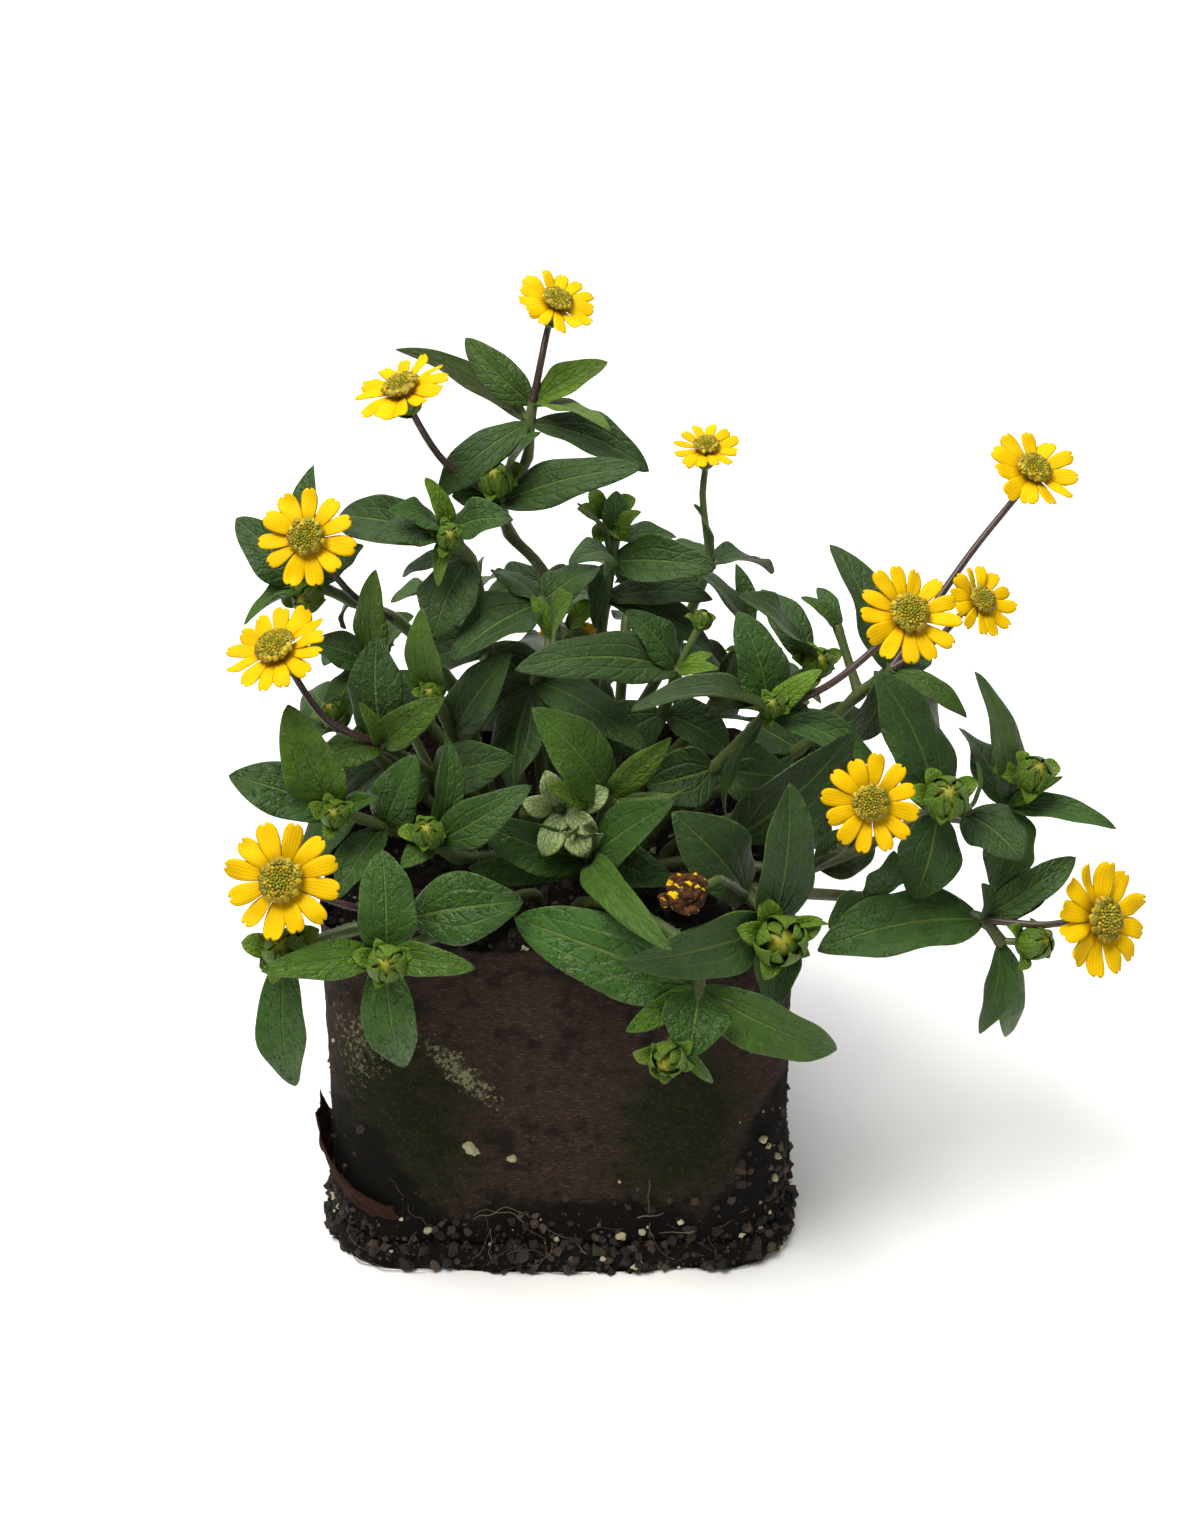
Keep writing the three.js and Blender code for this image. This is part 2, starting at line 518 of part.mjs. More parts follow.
function turned(profile, sides, frame) {
  const geometry = new THREE.LatheGeometry(profile.map(([r, z]) => new THREE.Vector2(r, z)), sides);
  const basis = new THREE.Matrix4().makeBasis(frame.x, frame.normal, frame.y.clone().negate());
  basis.setPosition(frame.centre);
  return geometry.applyMatrix4(basis);
}

function discRadius(radius) {
  return 0.4 * radius;
}

function headDisc(frame, radius) {
  const disc = discRadius(radius);
  const low = 0.35 + GAP;
  return toManifold(turned([[0, low], [disc * 0.98, low], [disc * 0.86, low + disc * 0.36],
    [0, low + disc * 0.56]], 8, frame));
}

function headCup(frame, radius) {
  const disc = discRadius(radius);
  return turned([[0, -4], [0.9, -4], [disc * 0.9, -0.35 - GAP], [0, -0.35 - GAP]], 5, frame);
}

// All the shoots as lists of stems, blades, buds and heads in millimetres
function buildPlan() {
  const random = seeded(4217);
  const shoots = [];
  for (const [name, spray] of Object.entries(sprays)) {
    const joints = {};
    for (const [key, spot] of Object.entries(spray.joints)) joints[key] = seen(spot);
    const foot = new THREE.Vector3(spray.foot[0], spray.foot[1], SOIL_TOP + 3);
    const forks = spray.runs.filter((run) => run[0] !== "foot").map((run) => joints[run[0]]);
    const shoot = { name, foot, joints, forks, stems: [], blades: [], buds: [], heads: [] };
    for (const run of spray.runs) {
      const points = run.map((key) => joints[key] ?? foot);
      if (run[0] === "foot") points.unshift(foot.clone().setZ(SOIL_TOP - 9));
      shoot.stems.push({ points, radius: run[0] === "foot" ? STEM_R : TWIG_R });
    }
    for (const [joint, across, up, depth, width, roll, tone] of spray.leaves) {
      const phase = 6.28 * random();
      shoot.blades.push({ base: joints[joint], spot: [across, up, depth], width, roll, tone, phase });
    }
    for (const [joint, across, up, depth, size] of spray.buds) {
      shoot.buds.push({ from: joints[joint], at: seen([across, up, depth]), radius: size / 2 });
    }
    shoots.push(shoot);
  }
  for (const [spray, joint, via, centre, radius, count, right, up] of blooms) {
    const shoot = shoots.find((s) => s.name === spray);
    const frame = headFrame(seen(centre), right, up);
    shoot.heads.push({ frame, radius, count });
    const points = [shoot.joints[joint], seen(via), inHead(frame, 0, 0, -6), inHead(frame, 0, 0, -2.6)];
    shoot.stems.push({ points, radius: STALK_R });
  }
  const [spray, joint, via, centre, size] = withered;
  const shoot = shoots.find((s) => s.name === spray);
  const dead = { at: seen(centre), radius: size };
  const last = seen(via).sub(dead.at).setLength(size + GAP + 1.6).add(dead.at);
  shoot.dead = dead;
  shoot.stems.push({ points: [shoot.joints[joint], seen(via), last], radius: STALK_R });
  rearShoots.forEach(([azimuth, reach, height, footX, footY, flower], index) => {
    const out = new THREE.Vector3(Math.cos(radians(azimuth)), Math.sin(radians(azimuth)), 0);
    const across = new THREE.Vector3(-out.y, out.x, 0);
    const foot = new THREE.Vector3(footX, footY, SOIL_TOP + 3);
    const at = (r, s, z) => new THREE.Vector3().addScaledVector(out, r).addScaledVector(across, s).setZ(z);
    const joints = { a: at(reach * 0.8, 0, height * 0.92), b: at(reach * 0.9, 1, height * 0.97), c: at(reach, 0, height) };
    const forks = [];
    const shoot = { name: "rear_" + (index + 1), foot, joints, forks, stems: [], blades: [], buds: [], heads: [] };
    shoot.stems.push({ points: [foot.clone().setZ(SOIL_TOP - 9), foot, joints.a, joints.b, joints.c], radius: STEM_R });
    const leaf = (joint, r, s, z, width, tone) => {
      const tip = joints[joint].clone().addScaledVector(out, r).addScaledVector(across, s);
      tip.z += z + 3 * (random() - 0.5);
      shoot.blades.push({ base: joints[joint], spot: tip, width, roll: 0, tone, phase: 6.28 * random() });
    };
    leaf("a", 15, 14, -19, 12, 0.3);
    leaf("a", 15, -13, -20, 12, 0.4);
    leaf("b", 18, 3, -11, 11, 0.3);
    leaf("c", 9, -14, 1, 11, 0.45);
    leaf("c", 3, 15, 5, 10, 0.35);
    leaf("c", -8, 1, 13, 8, 0.6);
    shoot.buds.push({ from: joints.c, at: joints.c.clone().addScaledVector(out, 1.5).setZ(height + 3.5), radius: 2.4 });
    shoots.push(shoot);
    if (!flower) return;
    const frame = headFrame(at(reach + 17, -5, height - 14), 180, 0);
    frame.normal.copy(out).multiplyScalar(0.85).setZ(0.5).normalize();
    frame.x.copy(across);
    frame.y.copy(frame.normal).cross(frame.x);
    shoot.heads.push({ frame, radius: 9.2, count: 12 });
    const points = [joints.c, at(reach + 9, -4, height - 7), inHead(frame, 0, 0, -6), inHead(frame, 0, 0, -2.6)];
    shoot.stems.push({ points, radius: STALK_R });
  });
  return shoots;
}

// Blades are turned and set back a little until they pass everything on the other shoots
const CLEAR = 2.2;

function bladeSamples(blade) {
  const samples = [];
  for (let i = 1; i <= 14; i++) {
    for (const s of [-1, -0.67, -0.33, 0, 0.33, 0.67, 1]) samples.push(bladePoint(blade, i / 14, s));
  }
  return samples;
}

// The stretch of a blade beyond its root, which keeps off the other blades of the same shoot too
function bladeFar(blade) {
  const samples = [];
  for (let i = 1; i <= 12; i++) {
    const t = i / 12;
    if (t * blade.length < 6) continue;
    for (const s of [-1, -0.5, 0, 0.5, 1]) samples.push(bladePoint(blade, t, s));
  }
  return samples;
}

function bunch(shoot, samples, reach) {
  const middle = new THREE.Vector3();
  for (const p of samples) middle.addScaledVector(p, 1 / samples.length);
  let size = 0;
  for (const p of samples) size = Math.max(size, p.distanceTo(middle));
  return { shoot, samples, reach, middle, size };
}

function room(mine, theirs) {
  const spare = mine.middle.distanceTo(theirs.middle) - mine.size - theirs.size - theirs.reach;
  if (spare > 0) return 1;
  let least = 1;
  for (const p of mine.samples) {
    for (const q of theirs.samples) least = Math.min(least, p.distanceTo(q) - theirs.reach);
  }
  return least;
}

function wallRoom(samples) {
  let least = 1;
  for (const p of samples) {
    const outside = Math.max(Math.abs(p.x), Math.abs(p.y)) - SLEEVE_HALF;
    least = Math.min(least, Math.max(outside, p.z - SLEEVE_TOP) - 1.2);
  }
  return least;
}

function arrange(shoots) {
  const taken = [];
  for (const shoot of shoots) {
    for (const { points, radius } of shoot.stems) {
      taken.push(bunch(shoot.name, chainOf(points, 1.5), radius + 1.3));
    }
    for (const bud of shoot.buds) taken.push(bunch(shoot.name, [bud.at], bud.radius + 1.2));
    if (shoot.dead) taken.push(bunch("withered head", [shoot.dead.at], shoot.dead.radius + 1.4));
    for (const { frame, radius } of shoot.heads) {
      const samples = [];
      for (let ring = 0; ring <= 4; ring++) {
        for (let i = 0; i < 16; i++) {
          const r = (radius * ring) / 4;
          samples.push(inHead(frame, r * Math.cos(i * Math.PI / 8), r * Math.sin(i * Math.PI / 8), 0));
        }
      }
      taken.push(bunch(shoot.name + " head", samples, 2.6));
    }
  }
  const tries = [];
  for (const size of [1, 0.85]) {
    for (const shift of [0, 4, -4, 8, -8, 12, -12, 17, -17]) {
      for (const turn of [0, 26, -26]) tries.push([size, shift, turn, 0]);
    }
  }
  const rearTries = [];
  for (const size of [1, 0.8]) {
    for (const swing of [0, 24, -24, 48, -48, 75, -75]) {
      for (const shift of [0, 5, -5, 10, -10]) {
        for (const turn of [0, 26]) rearTries.push([size, shift, turn, swing]);
      }
    }
  }
  const upward = new THREE.Vector3(0, 0, 1);
  for (const shoot of shoots) {
    const own = [];
    for (const leaf of shoot.blades) {
      let best = -1e9;
      for (const [size, shift, turn, swing] of leaf.spot.isVector3 ? rearTries : tries) {
        let tip;
        if (leaf.spot.isVector3) tip = leaf.spot.clone().setZ(leaf.spot.z + shift);
        else tip = seen([leaf.spot[0], leaf.spot[1], leaf.spot[2] + shift]);
        tip.sub(leaf.base).multiplyScalar(size).applyAxisAngle(upward, radians(swing)).add(leaf.base);
        const blade = makeBlade(leaf.base, tip, leaf.width * size, leaf.roll + turn, leaf.phase);
        const mine = bunch(shoot.name, bladeSamples(blade), 0);
        const far = bunch(shoot.name, bladeFar(blade), 0);
        let least = wallRoom(mine.samples);
        for (const theirs of own) least = Math.min(least, 0.4 * room(far, theirs));
        for (const theirs of taken) {
          if (theirs.shoot === shoot.name || least <= best) continue;
          least = Math.min(least, room(mine, theirs));
        }
        if (least > best) {
          best = least;
          leaf.blade = blade;
          leaf.room = least;
        }
        if (best > 0) break;
      }
      taken.push(bunch(shoot.name, bladeSamples(leaf.blade), CLEAR));
      const far = bladeFar(leaf.blade);
      if (far.length > 0) own.push(bunch(shoot.name, far, 1.4));
    }
  }
}

const shoots = buildPlan();
arrange(shoots);

// One node for each leafy stem, one for the rays and one for the disc of each flower head
const leafGreen = paint(0x3f6b2a, 0.6);
const petalYellow = paint(0xffcf00, 0.55);
const discOlive = paint(0x7a6a14, 0.85);
const random = seeded(977);
let headNumber = 0;
for (const shoot of shoots) {
  const pieces = shoot.stems.map(({ points, radius }) => stem(points, radius, 4));
  for (const joint of shoot.forks) pieces.push(knob(joint, 2.1));
  for (const leaf of shoot.blades) pieces.push(bladeSolid(leaf.blade));
  for (const bud of shoot.buds) {
    pieces.push(new THREE.SphereGeometry(bud.radius * 1.12, 5, 2).translate(bud.at.x, bud.at.y, bud.at.z));
    if (bud.at.distanceTo(bud.from) < bud.radius + 1.4) continue;
    pieces.push(stem([bud.from, bud.from.clone().lerp(bud.at, 0.5), bud.at], STALK_R, 4));
  }
  for (const { frame, radius } of shoot.heads) pieces.push(headCup(frame, radius));
  add("shoot_" + shoot.name, fuse(pieces), leafGreen);
  for (const { frame, radius, count } of shoot.heads) {
    headNumber += 1;
    const label = "bloom_" + String(headNumber).padStart(2, "0");
    add(label + "_rays", star(frame, radius, count, random), petalYellow);
    add(label + "_disc", headDisc(frame, radius), discOlive);
  }
}

// The sleeve and the block are both drawn round by the same rule: a square with round corners, and
// shallow hollows beside the two front corners
function rimPoint(turn, inset) {
  const flat = SLEEVE_HALF - SLEEVE_CORNER;
  const c = Math.cos(turn);
  const s = Math.sin(turn);
  let low = 0;
  let high = 1.5 * SLEEVE_HALF;
  for (let i = 0; i < 40; i++) {
    const r = (low + high) / 2;
    const x = Math.max(0, Math.abs(r * c) - flat);
    const y = Math.max(0, Math.abs(r * s) - flat);
    if (Math.hypot(x, y) < SLEEVE_CORNER) low = r;
    else high = r;
  }
  let hollow = 0;
  for (const side of [-62, -118]) {
    const away = ((turn * 180) / Math.PI - side) / 6;
    hollow += 1.3 * Math.exp(-away * away);
  }
  const r = low - hollow - inset;
  return new THREE.Vector2(r * c, r * s);
}

const RIM_STEPS = 44;

function outline(inset, grow = 1) {
  const corners = [];
  for (let i = 0; i < RIM_STEPS; i++) {
    const turn = -Math.PI + (2 * Math.PI * i) / RIM_STEPS;
    corners.push(rimPoint(turn, inset).multiplyScalar(grow));
  }
  return corners;
}

function upright(corners, low, high) {
  const geometry = new THREE.ExtrudeGeometry(new THREE.Shape(corners), { depth: high - low, bevelEnabled: false });
  return geometry.translate(0, 0, low);
}

// A strip of torn paper that stands off the sleeve round its front left corner
function tornStrip() {
  const points = [];
  const triangles = [];
  const tears = [[-153, 27, 21, 2.4], [-148, 26, 17, 2.8], [-142, 23.5, 14, 2.6], [-136, 20, 12, 2.2], [-130, 17, 11, 1.5],
    [-125, 15, 11.5, 0.9]];
  for (const [turn, high, low, stand] of tears) {
    const near = rimPoint(radians(turn), 0.7);
    const foot = rimPoint(radians(turn), -0.5);
    const out = rimPoint(radians(turn), -stand);
    const back = rimPoint(radians(turn), 0.9 - stand);
    points.push(new THREE.Vector3(back.x, back.y, high - 0.3), new THREE.Vector3(out.x, out.y, high));
    points.push(new THREE.Vector3(foot.x, foot.y, low - 0.6), new THREE.Vector3(near.x, near.y, low));
  }
  for (let i = 0; i + 1 < tears.length; i++) {
    for (let k = 0; k < 4; k++) {
      const a = 4 * i + k;
      const b = 4 * i + ((k + 1) % 4);
      triangles.push([a, b, a + 4], [b, b + 4, a + 4]);
    }
  }
  const e = 4 * (tears.length - 1);
  triangles.push([0, 2, 1], [0, 3, 2], [e, e + 1, e + 2], [e, e + 2, e + 3]);
  return shell(points, triangles);
}

const sleeveBody = toManifold(upright(outline(0), FOOT_TOP + GAP, SLEEVE_TOP))
  .subtract(toManifold(upright(outline(SLEEVE_WALL), FOOT_TOP - 5, SLEEVE_TOP + 5)));
add("paper_sleeve", wasm.Manifold.union([sleeveBody, toManifold(tornStrip())]).simplify(0.02), paint(0x4b3c3a, 0.9));

// The block of potting soil: a core inside the sleeve, a foot below it, lumps on top and crumbs low down
function lump(x, y, z, size, flatness) {
  return new THREE.OctahedronGeometry(size, 0).scale(1, 1, flatness).rotateZ(6.28 * random()).translate(x, y, z);
}

const soilPieces = [
  upright(outline(SLEEVE_WALL + GAP), 2, SOIL_TOP),
  upright(outline(0, FOOT_HALF / SLEEVE_HALF), 0, FOOT_TOP)
];
for (let i = 0; i < 11; i++) {
  const turn = 6.28 * random();
  const r = 34 * Math.sqrt(random());
  soilPieces.push(lump(r * Math.cos(turn), r * Math.sin(turn), SOIL_TOP - 0.4, 2.6 + 3.6 * random(), 0.6));
}
for (let i = 0; i < 15; i++) {
  const turn = (2 * Math.PI * (i + random())) / 15;
  const spot = rimPoint(turn, -1.4).multiplyScalar(1.01);
  const size = 1.5 + 1.2 * random();
  soilPieces.push(lump(spot.x, spot.y, size + 0.2 + 0.8 * random(), size, 0.8));
}
let soilBody = wasm.Manifold.union(soilPieces.map(toManifold));
const holes = shoots.map(({ foot }) => {
  const hole = new THREE.CylinderGeometry(STEM_R + 1, STEM_R + 1, 15, 4).rotateX(Math.PI / 2);
  return toManifold(hole.translate(foot.x, foot.y, SOIL_TOP - 2));
});
soilBody = soilBody.subtract(wasm.Manifold.union(holes)).simplify(0.02).decompose().sort((a, b) => b.volume() - a.volume())[0];
add("soil_block", soilBody, paint(0x1a1512, 0.95));

// The withered head stands on its own stalk
const dead = shoots.find((shoot) => shoot.dead).dead;
const deadHead = new THREE.SphereGeometry(dead.radius, 8, 5).scale(1, 1, 0.85);
add("withered_head", toManifold(deadHead.translate(dead.at.x, dead.at.y, dead.at.z)), paint(0x5a3d1e, 0.9));

export default part;
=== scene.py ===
import math
import bpy
import numpy as np
from mathutils import Matrix, Vector, noise


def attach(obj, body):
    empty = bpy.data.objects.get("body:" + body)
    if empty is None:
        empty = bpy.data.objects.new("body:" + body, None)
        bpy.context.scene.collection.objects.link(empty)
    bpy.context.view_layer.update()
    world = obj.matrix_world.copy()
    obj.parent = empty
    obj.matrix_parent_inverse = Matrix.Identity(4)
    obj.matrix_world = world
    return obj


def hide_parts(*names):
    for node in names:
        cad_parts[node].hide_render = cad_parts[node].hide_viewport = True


# A creeping zinnia in flower in its paper sleeve of potting soil.
# The plant is worked out in millimetres and put down in metres.
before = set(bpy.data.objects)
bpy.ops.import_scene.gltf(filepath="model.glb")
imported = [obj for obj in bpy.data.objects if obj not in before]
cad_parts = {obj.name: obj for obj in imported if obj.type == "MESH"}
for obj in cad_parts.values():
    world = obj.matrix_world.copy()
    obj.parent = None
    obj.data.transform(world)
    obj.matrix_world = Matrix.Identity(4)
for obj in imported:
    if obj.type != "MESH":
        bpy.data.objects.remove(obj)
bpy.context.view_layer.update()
millimetre = 0.001

# camera, floor and light
view = {"spot": (0.008, -0.41982, 0.31871), "aim": (0.008, 0.0, 0.086), "lens": 58.5, "sensor": 36.0}
studio = {
    "floor": (0.86, 0.86, 0.86),
    "world": (1.0, 0.99, 0.96), "worldStrength": 0.16,
    # name: place, aim, width, watts, colour
    "lamps": {
        "key": ((-0.35, -0.35, 1.15), (0.0, 0.0, 0.09), 0.7, 17.5, (1.0, 0.975, 0.91)),
        "fill": ((0.85, -0.75, 0.5), (0.0, 0.0, 0.08), 0.9, 1.8, (1.0, 0.98, 0.96)),
        "back": ((0.0, 0.55, 1.2), (0.0, 1.3, 0.1), 1.8, 20.0, (1.0, 1.0, 1.0)),
    },
}


def lookFrom(spot, aim):
    turn = (Vector(aim) - Vector(spot)).to_track_quat("-Z", "Y")
    return Matrix.Translation(spot) @ turn.to_matrix().to_4x4()


def makeStudio():
    lens = bpy.data.cameras.new("photoCamera")
    lens.lens = view["lens"]
    lens.sensor_width = view["sensor"]
    lens.clip_start = 0.01
    camera = bpy.data.objects.new("photoCamera", lens)
    camera.matrix_world = lookFrom(view["spot"], view["aim"])
    bpy.context.scene.collection.objects.link(camera)
    bpy.context.scene.camera = camera
    for name, (spot, aim, width, watts, colour) in studio["lamps"].items():
        lamp = bpy.data.lights.new(name, "AREA")
        lamp.shape = "DISK"
        lamp.size = width
        lamp.energy = watts
        lamp.color = colour
        holder = bpy.data.objects.new(name, lamp)
        holder.matrix_world = lookFrom(spot, aim)
        bpy.context.scene.collection.objects.link(holder)
    world = bpy.data.worlds.new("studio")
    world.use_nodes = True
    shade = world.node_tree.nodes["Background"]
    shade.inputs["Color"].default_value = (*studio["world"], 1)
    shade.inputs["Strength"].default_value = studio["worldStrength"]
    bpy.context.scene.world = world
    # the floor runs up into a backdrop in one sweep
    points, faces = [], []
    sweep = [(-3.0, 0.0), (1.2, 0.0)]
    sweep += [(1.2 + 0.8 * math.sin(a), 0.8 - 0.8 * math.cos(a)) for a in np.linspace(0.1, math.pi / 2, 12)]
    sweep.append((2.0, 3.0))
    for y, z in sweep:
        points += [(-3.0, y, z), (3.0, y, z)]
    for i in range(len(sweep) - 1):
        faces.append((2 * i, 2 * i + 1, 2 * i + 3, 2 * i + 2))
    mesh = bpy.data.meshes.new("floor")
    mesh.from_pydata(points, [], faces)
    mesh.polygons.foreach_set("use_smooth", [True] * len(faces))
    material = bpy.data.materials.new("floorWhite")
    material.use_nodes = True
    shader = material.node_tree.nodes["Principled BSDF"]
    shader.inputs["Base Color"].default_value = (*studio["floor"], 1)
    shader.inputs["Roughness"].default_value = 0.9
    mesh.materials.append(material)
    floor = bpy.data.objects.new("floor", mesh)
    bpy.context.scene.collection.objects.link(floor)


makeStudio()
bpy.context.scene.view_settings.view_transform = "Standard"
print("studio ready")

# node helpers


def addNode(tree, kind, inputs=None, **settings):
    made = tree.nodes.new(kind)
    for key, value in settings.items():
        setattr(made, key, value)
    for key, value in (inputs or {}).items():
        feed(tree, value, made.inputs[key])
    return made


def feed(tree, value, socket):
    if isinstance(value, bpy.types.NodeSocket):
        tree.links.new(value, socket)
    elif value is not None:
        socket.default_value = value


def calc(tree, operation, *values):
    made = tree.nodes.new("ShaderNodeMath")
    made.operation = operation
    for socket, value in zip(made.inputs, values):
        feed(tree, value, socket)
    return made.outputs[0]


def plus(tree, first, second):
    return calc(tree, "ADD", first, second)


def times(tree, first, second):
    return calc(tree, "MULTIPLY", first, second)


def less(tree, first, second):
    return calc(tree, "SUBTRACT", first, second)


def scaled(tree, vector, amount):
    return addNode(tree, "ShaderNodeVectorMath", {0: vector, 3: amount}, operation="SCALE").outputs[0]


def roughened(tree, shader, strength, distance, height):
    bump = addNode(tree, "ShaderNodeBump", {"Strength": strength, "Distance": distance, "Height": height})
    feed(tree, bump.outputs[0], shader.inputs["Normal"])


def clampedRange(tree, value, low, high, toLow=0.0, toHigh=1.0):
    made = tree.nodes.new("ShaderNodeMapRange")
    made.interpolation_type = "SMOOTHSTEP"
    for key, part in zip((0, 1, 2, 3, 4), (value, low, high, toLow, toHigh)):
        feed(tree, part, made.inputs[key])
    return made.outputs[0]


def blendColour(tree, share, first, second, mode="MIX"):
    made = tree.nodes.new("ShaderNodeMix")
    made.data_type = "RGBA"
    made.blend_type = mode
    feed(tree, share, made.inputs["Factor"])
    feed(tree, (*first, 1) if isinstance(first, tuple) else first, made.inputs[6])
    feed(tree, (*second, 1) if isinstance(second, tuple) else second, made.inputs[7])
    return made.outputs[2]


def readAttribute(tree, name):
    return addNode(tree, "ShaderNodeAttribute", attribute_name=name)


def objectSpot(tree, scale=1.0):
    where = addNode(tree, "ShaderNodeTexCoord").outputs["Object"]
    return scaled(tree, where, scale)


def noiseOf(tree, spot, scale, detail=3.0, roughness=0.5, distortion=0.0):
    return addNode(tree, "ShaderNodeTexNoise", {"Vector": spot, "Scale": scale, "Detail": detail,
            "Roughness": roughness, "Distortion": distortion}).outputs["Fac"]


def newMaterial(name):
    material = bpy.data.materials.new(name)
    material.use_nodes = True
    return material, material.node_tree, material.node_tree.nodes["Principled BSDF"]


def newGroup(name, sorts, inputs, outputs, kind="ShaderNodeTree"):
    tree = bpy.data.node_groups.new(name, kind)
    for label, value in inputs.items():
        socket = tree.interface.new_socket(label, in_out="INPUT", socket_type=sorts[label])
        if value is not None:
            socket.default_value = value
    for label in outputs:
        tree.interface.new_socket(label, in_out="OUTPUT", socket_type=sorts[label])
    return tree, tree.nodes.new("NodeGroupInput").outputs, tree.nodes.new("NodeGroupOutput").inputs


def placeGroup(tree, group, inputs):
    made = tree.nodes.new("ShaderNodeGroup")
    made.node_tree = group
    for key, value in inputs.items():
        feed(tree, value, made.inputs[key])
    return made.outputs


# Two sizes of soft mottling and a fine tooth, for the leaves, bracts and stems
def makeMottle():
    sorts = {"Spot": "NodeSocketVector", "Patch": "NodeSocketFloat", "Tooth": "NodeSocketFloat",
            "Shade": "NodeSocketFloat", "Height": "NodeSocketFloat"}
    tree, given, result = newGroup("mottle", sorts, {"Spot": None, "Patch": 200.0, "Tooth": 1500.0},
            ["Shade", "Height"])
    broad = noiseOf(tree, given["Spot"], given["Patch"], 3.0, 0.55, 0.4)
    fine = noiseOf(tree, given["Spot"], given["Tooth"], 2.0, 0.6)
    shade = plus(tree, times(tree, broad, 0.7), times(tree, fine, 0.3))
    feed(tree, clampedRange(tree, shade, 0.3, 0.7), result["Shade"])
    feed(tree, plus(tree, times(tree, broad, 0.4), fine), result["Height"])
    return tree


# Midrib, the pair of long side nerves and the short cross veins of a zinnia leaf.
# Spot holds the place over the blade (-1 to 1), along it (0 to 1) and a number of its own.
def makeVeins():
    sorts = {"Spot": "NodeSocketVector", "Pairs": "NodeSocketFloat", "Rib": "NodeSocketFloat",
            "Nerve": "NodeSocketFloat", "Height": "NodeSocketFloat"}
    tree, given, result = newGroup("leafVeins", sorts, {"Spot": None, "Pairs": 6.0},
            ["Rib", "Nerve", "Height"])
    part = addNode(tree, "ShaderNodeSeparateXYZ", {0: given["Spot"]}).outputs
    over = calc(tree, "ABSOLUTE", part[0])
    rib = clampedRange(tree, over, 0.025, less(tree, 0.11, times(tree, part[1], 0.06)), 1.0, 0.0)
    path = times(tree,
            calc(tree, "POWER", calc(tree, "MINIMUM", times(tree, part[1], 2.4), 1.0), 0.6), 0.47)
    away = calc(tree, "ABSOLUTE", less(tree, over, path))
    nerve = times(tree, clampedRange(tree, away, 0.0, 0.07, 1.0, 0.0),
            clampedRange(tree, part[1], 0.45, 0.95, 1.0, 0.25))
    wave = times(tree, noiseOf(tree, given["Spot"], 3.0, 1.0), 0.8)
    lean = plus(tree, less(tree, times(tree, part[1], given["Pairs"]), times(tree, over, 1.7)), wave)
    saw = calc(tree, "ABSOLUTE", less(tree, calc(tree, "FRACT", lean), 0.5))
    cross = clampedRange(tree, saw, 0.0, 0.2, 1.0, 0.0)
    feed(tree, rib, result["Rib"])
    feed(tree, calc(tree, "MAXIMUM", nerve, times(tree, cross, 0.22)), result["Nerve"])
    sunk = calc(tree, "MAXIMUM", rib,
            calc(tree, "MAXIMUM", times(tree, nerve, 0.75), times(tree, cross, 0.4)))
    feed(tree, less(tree, 1.0, sunk), result["Height"])
    return tree


mottle = makeMottle()
leafVeins = makeVeins()

# materials of the plant
leafLook = {"old": (0.020, 0.038, 0.009), "grown": (0.019, 0.055, 0.005), "young": (0.105, 0.185, 0.006),
        "fresh": (0.025, 0.088, 0.002), "rib": (0.085, 0.135, 0.024), "under": (0.080, 0.125, 0.028),
        "pale": (0.30, 0.37, 0.17), "roughness": 0.46, "wetRoughness": 0.1}


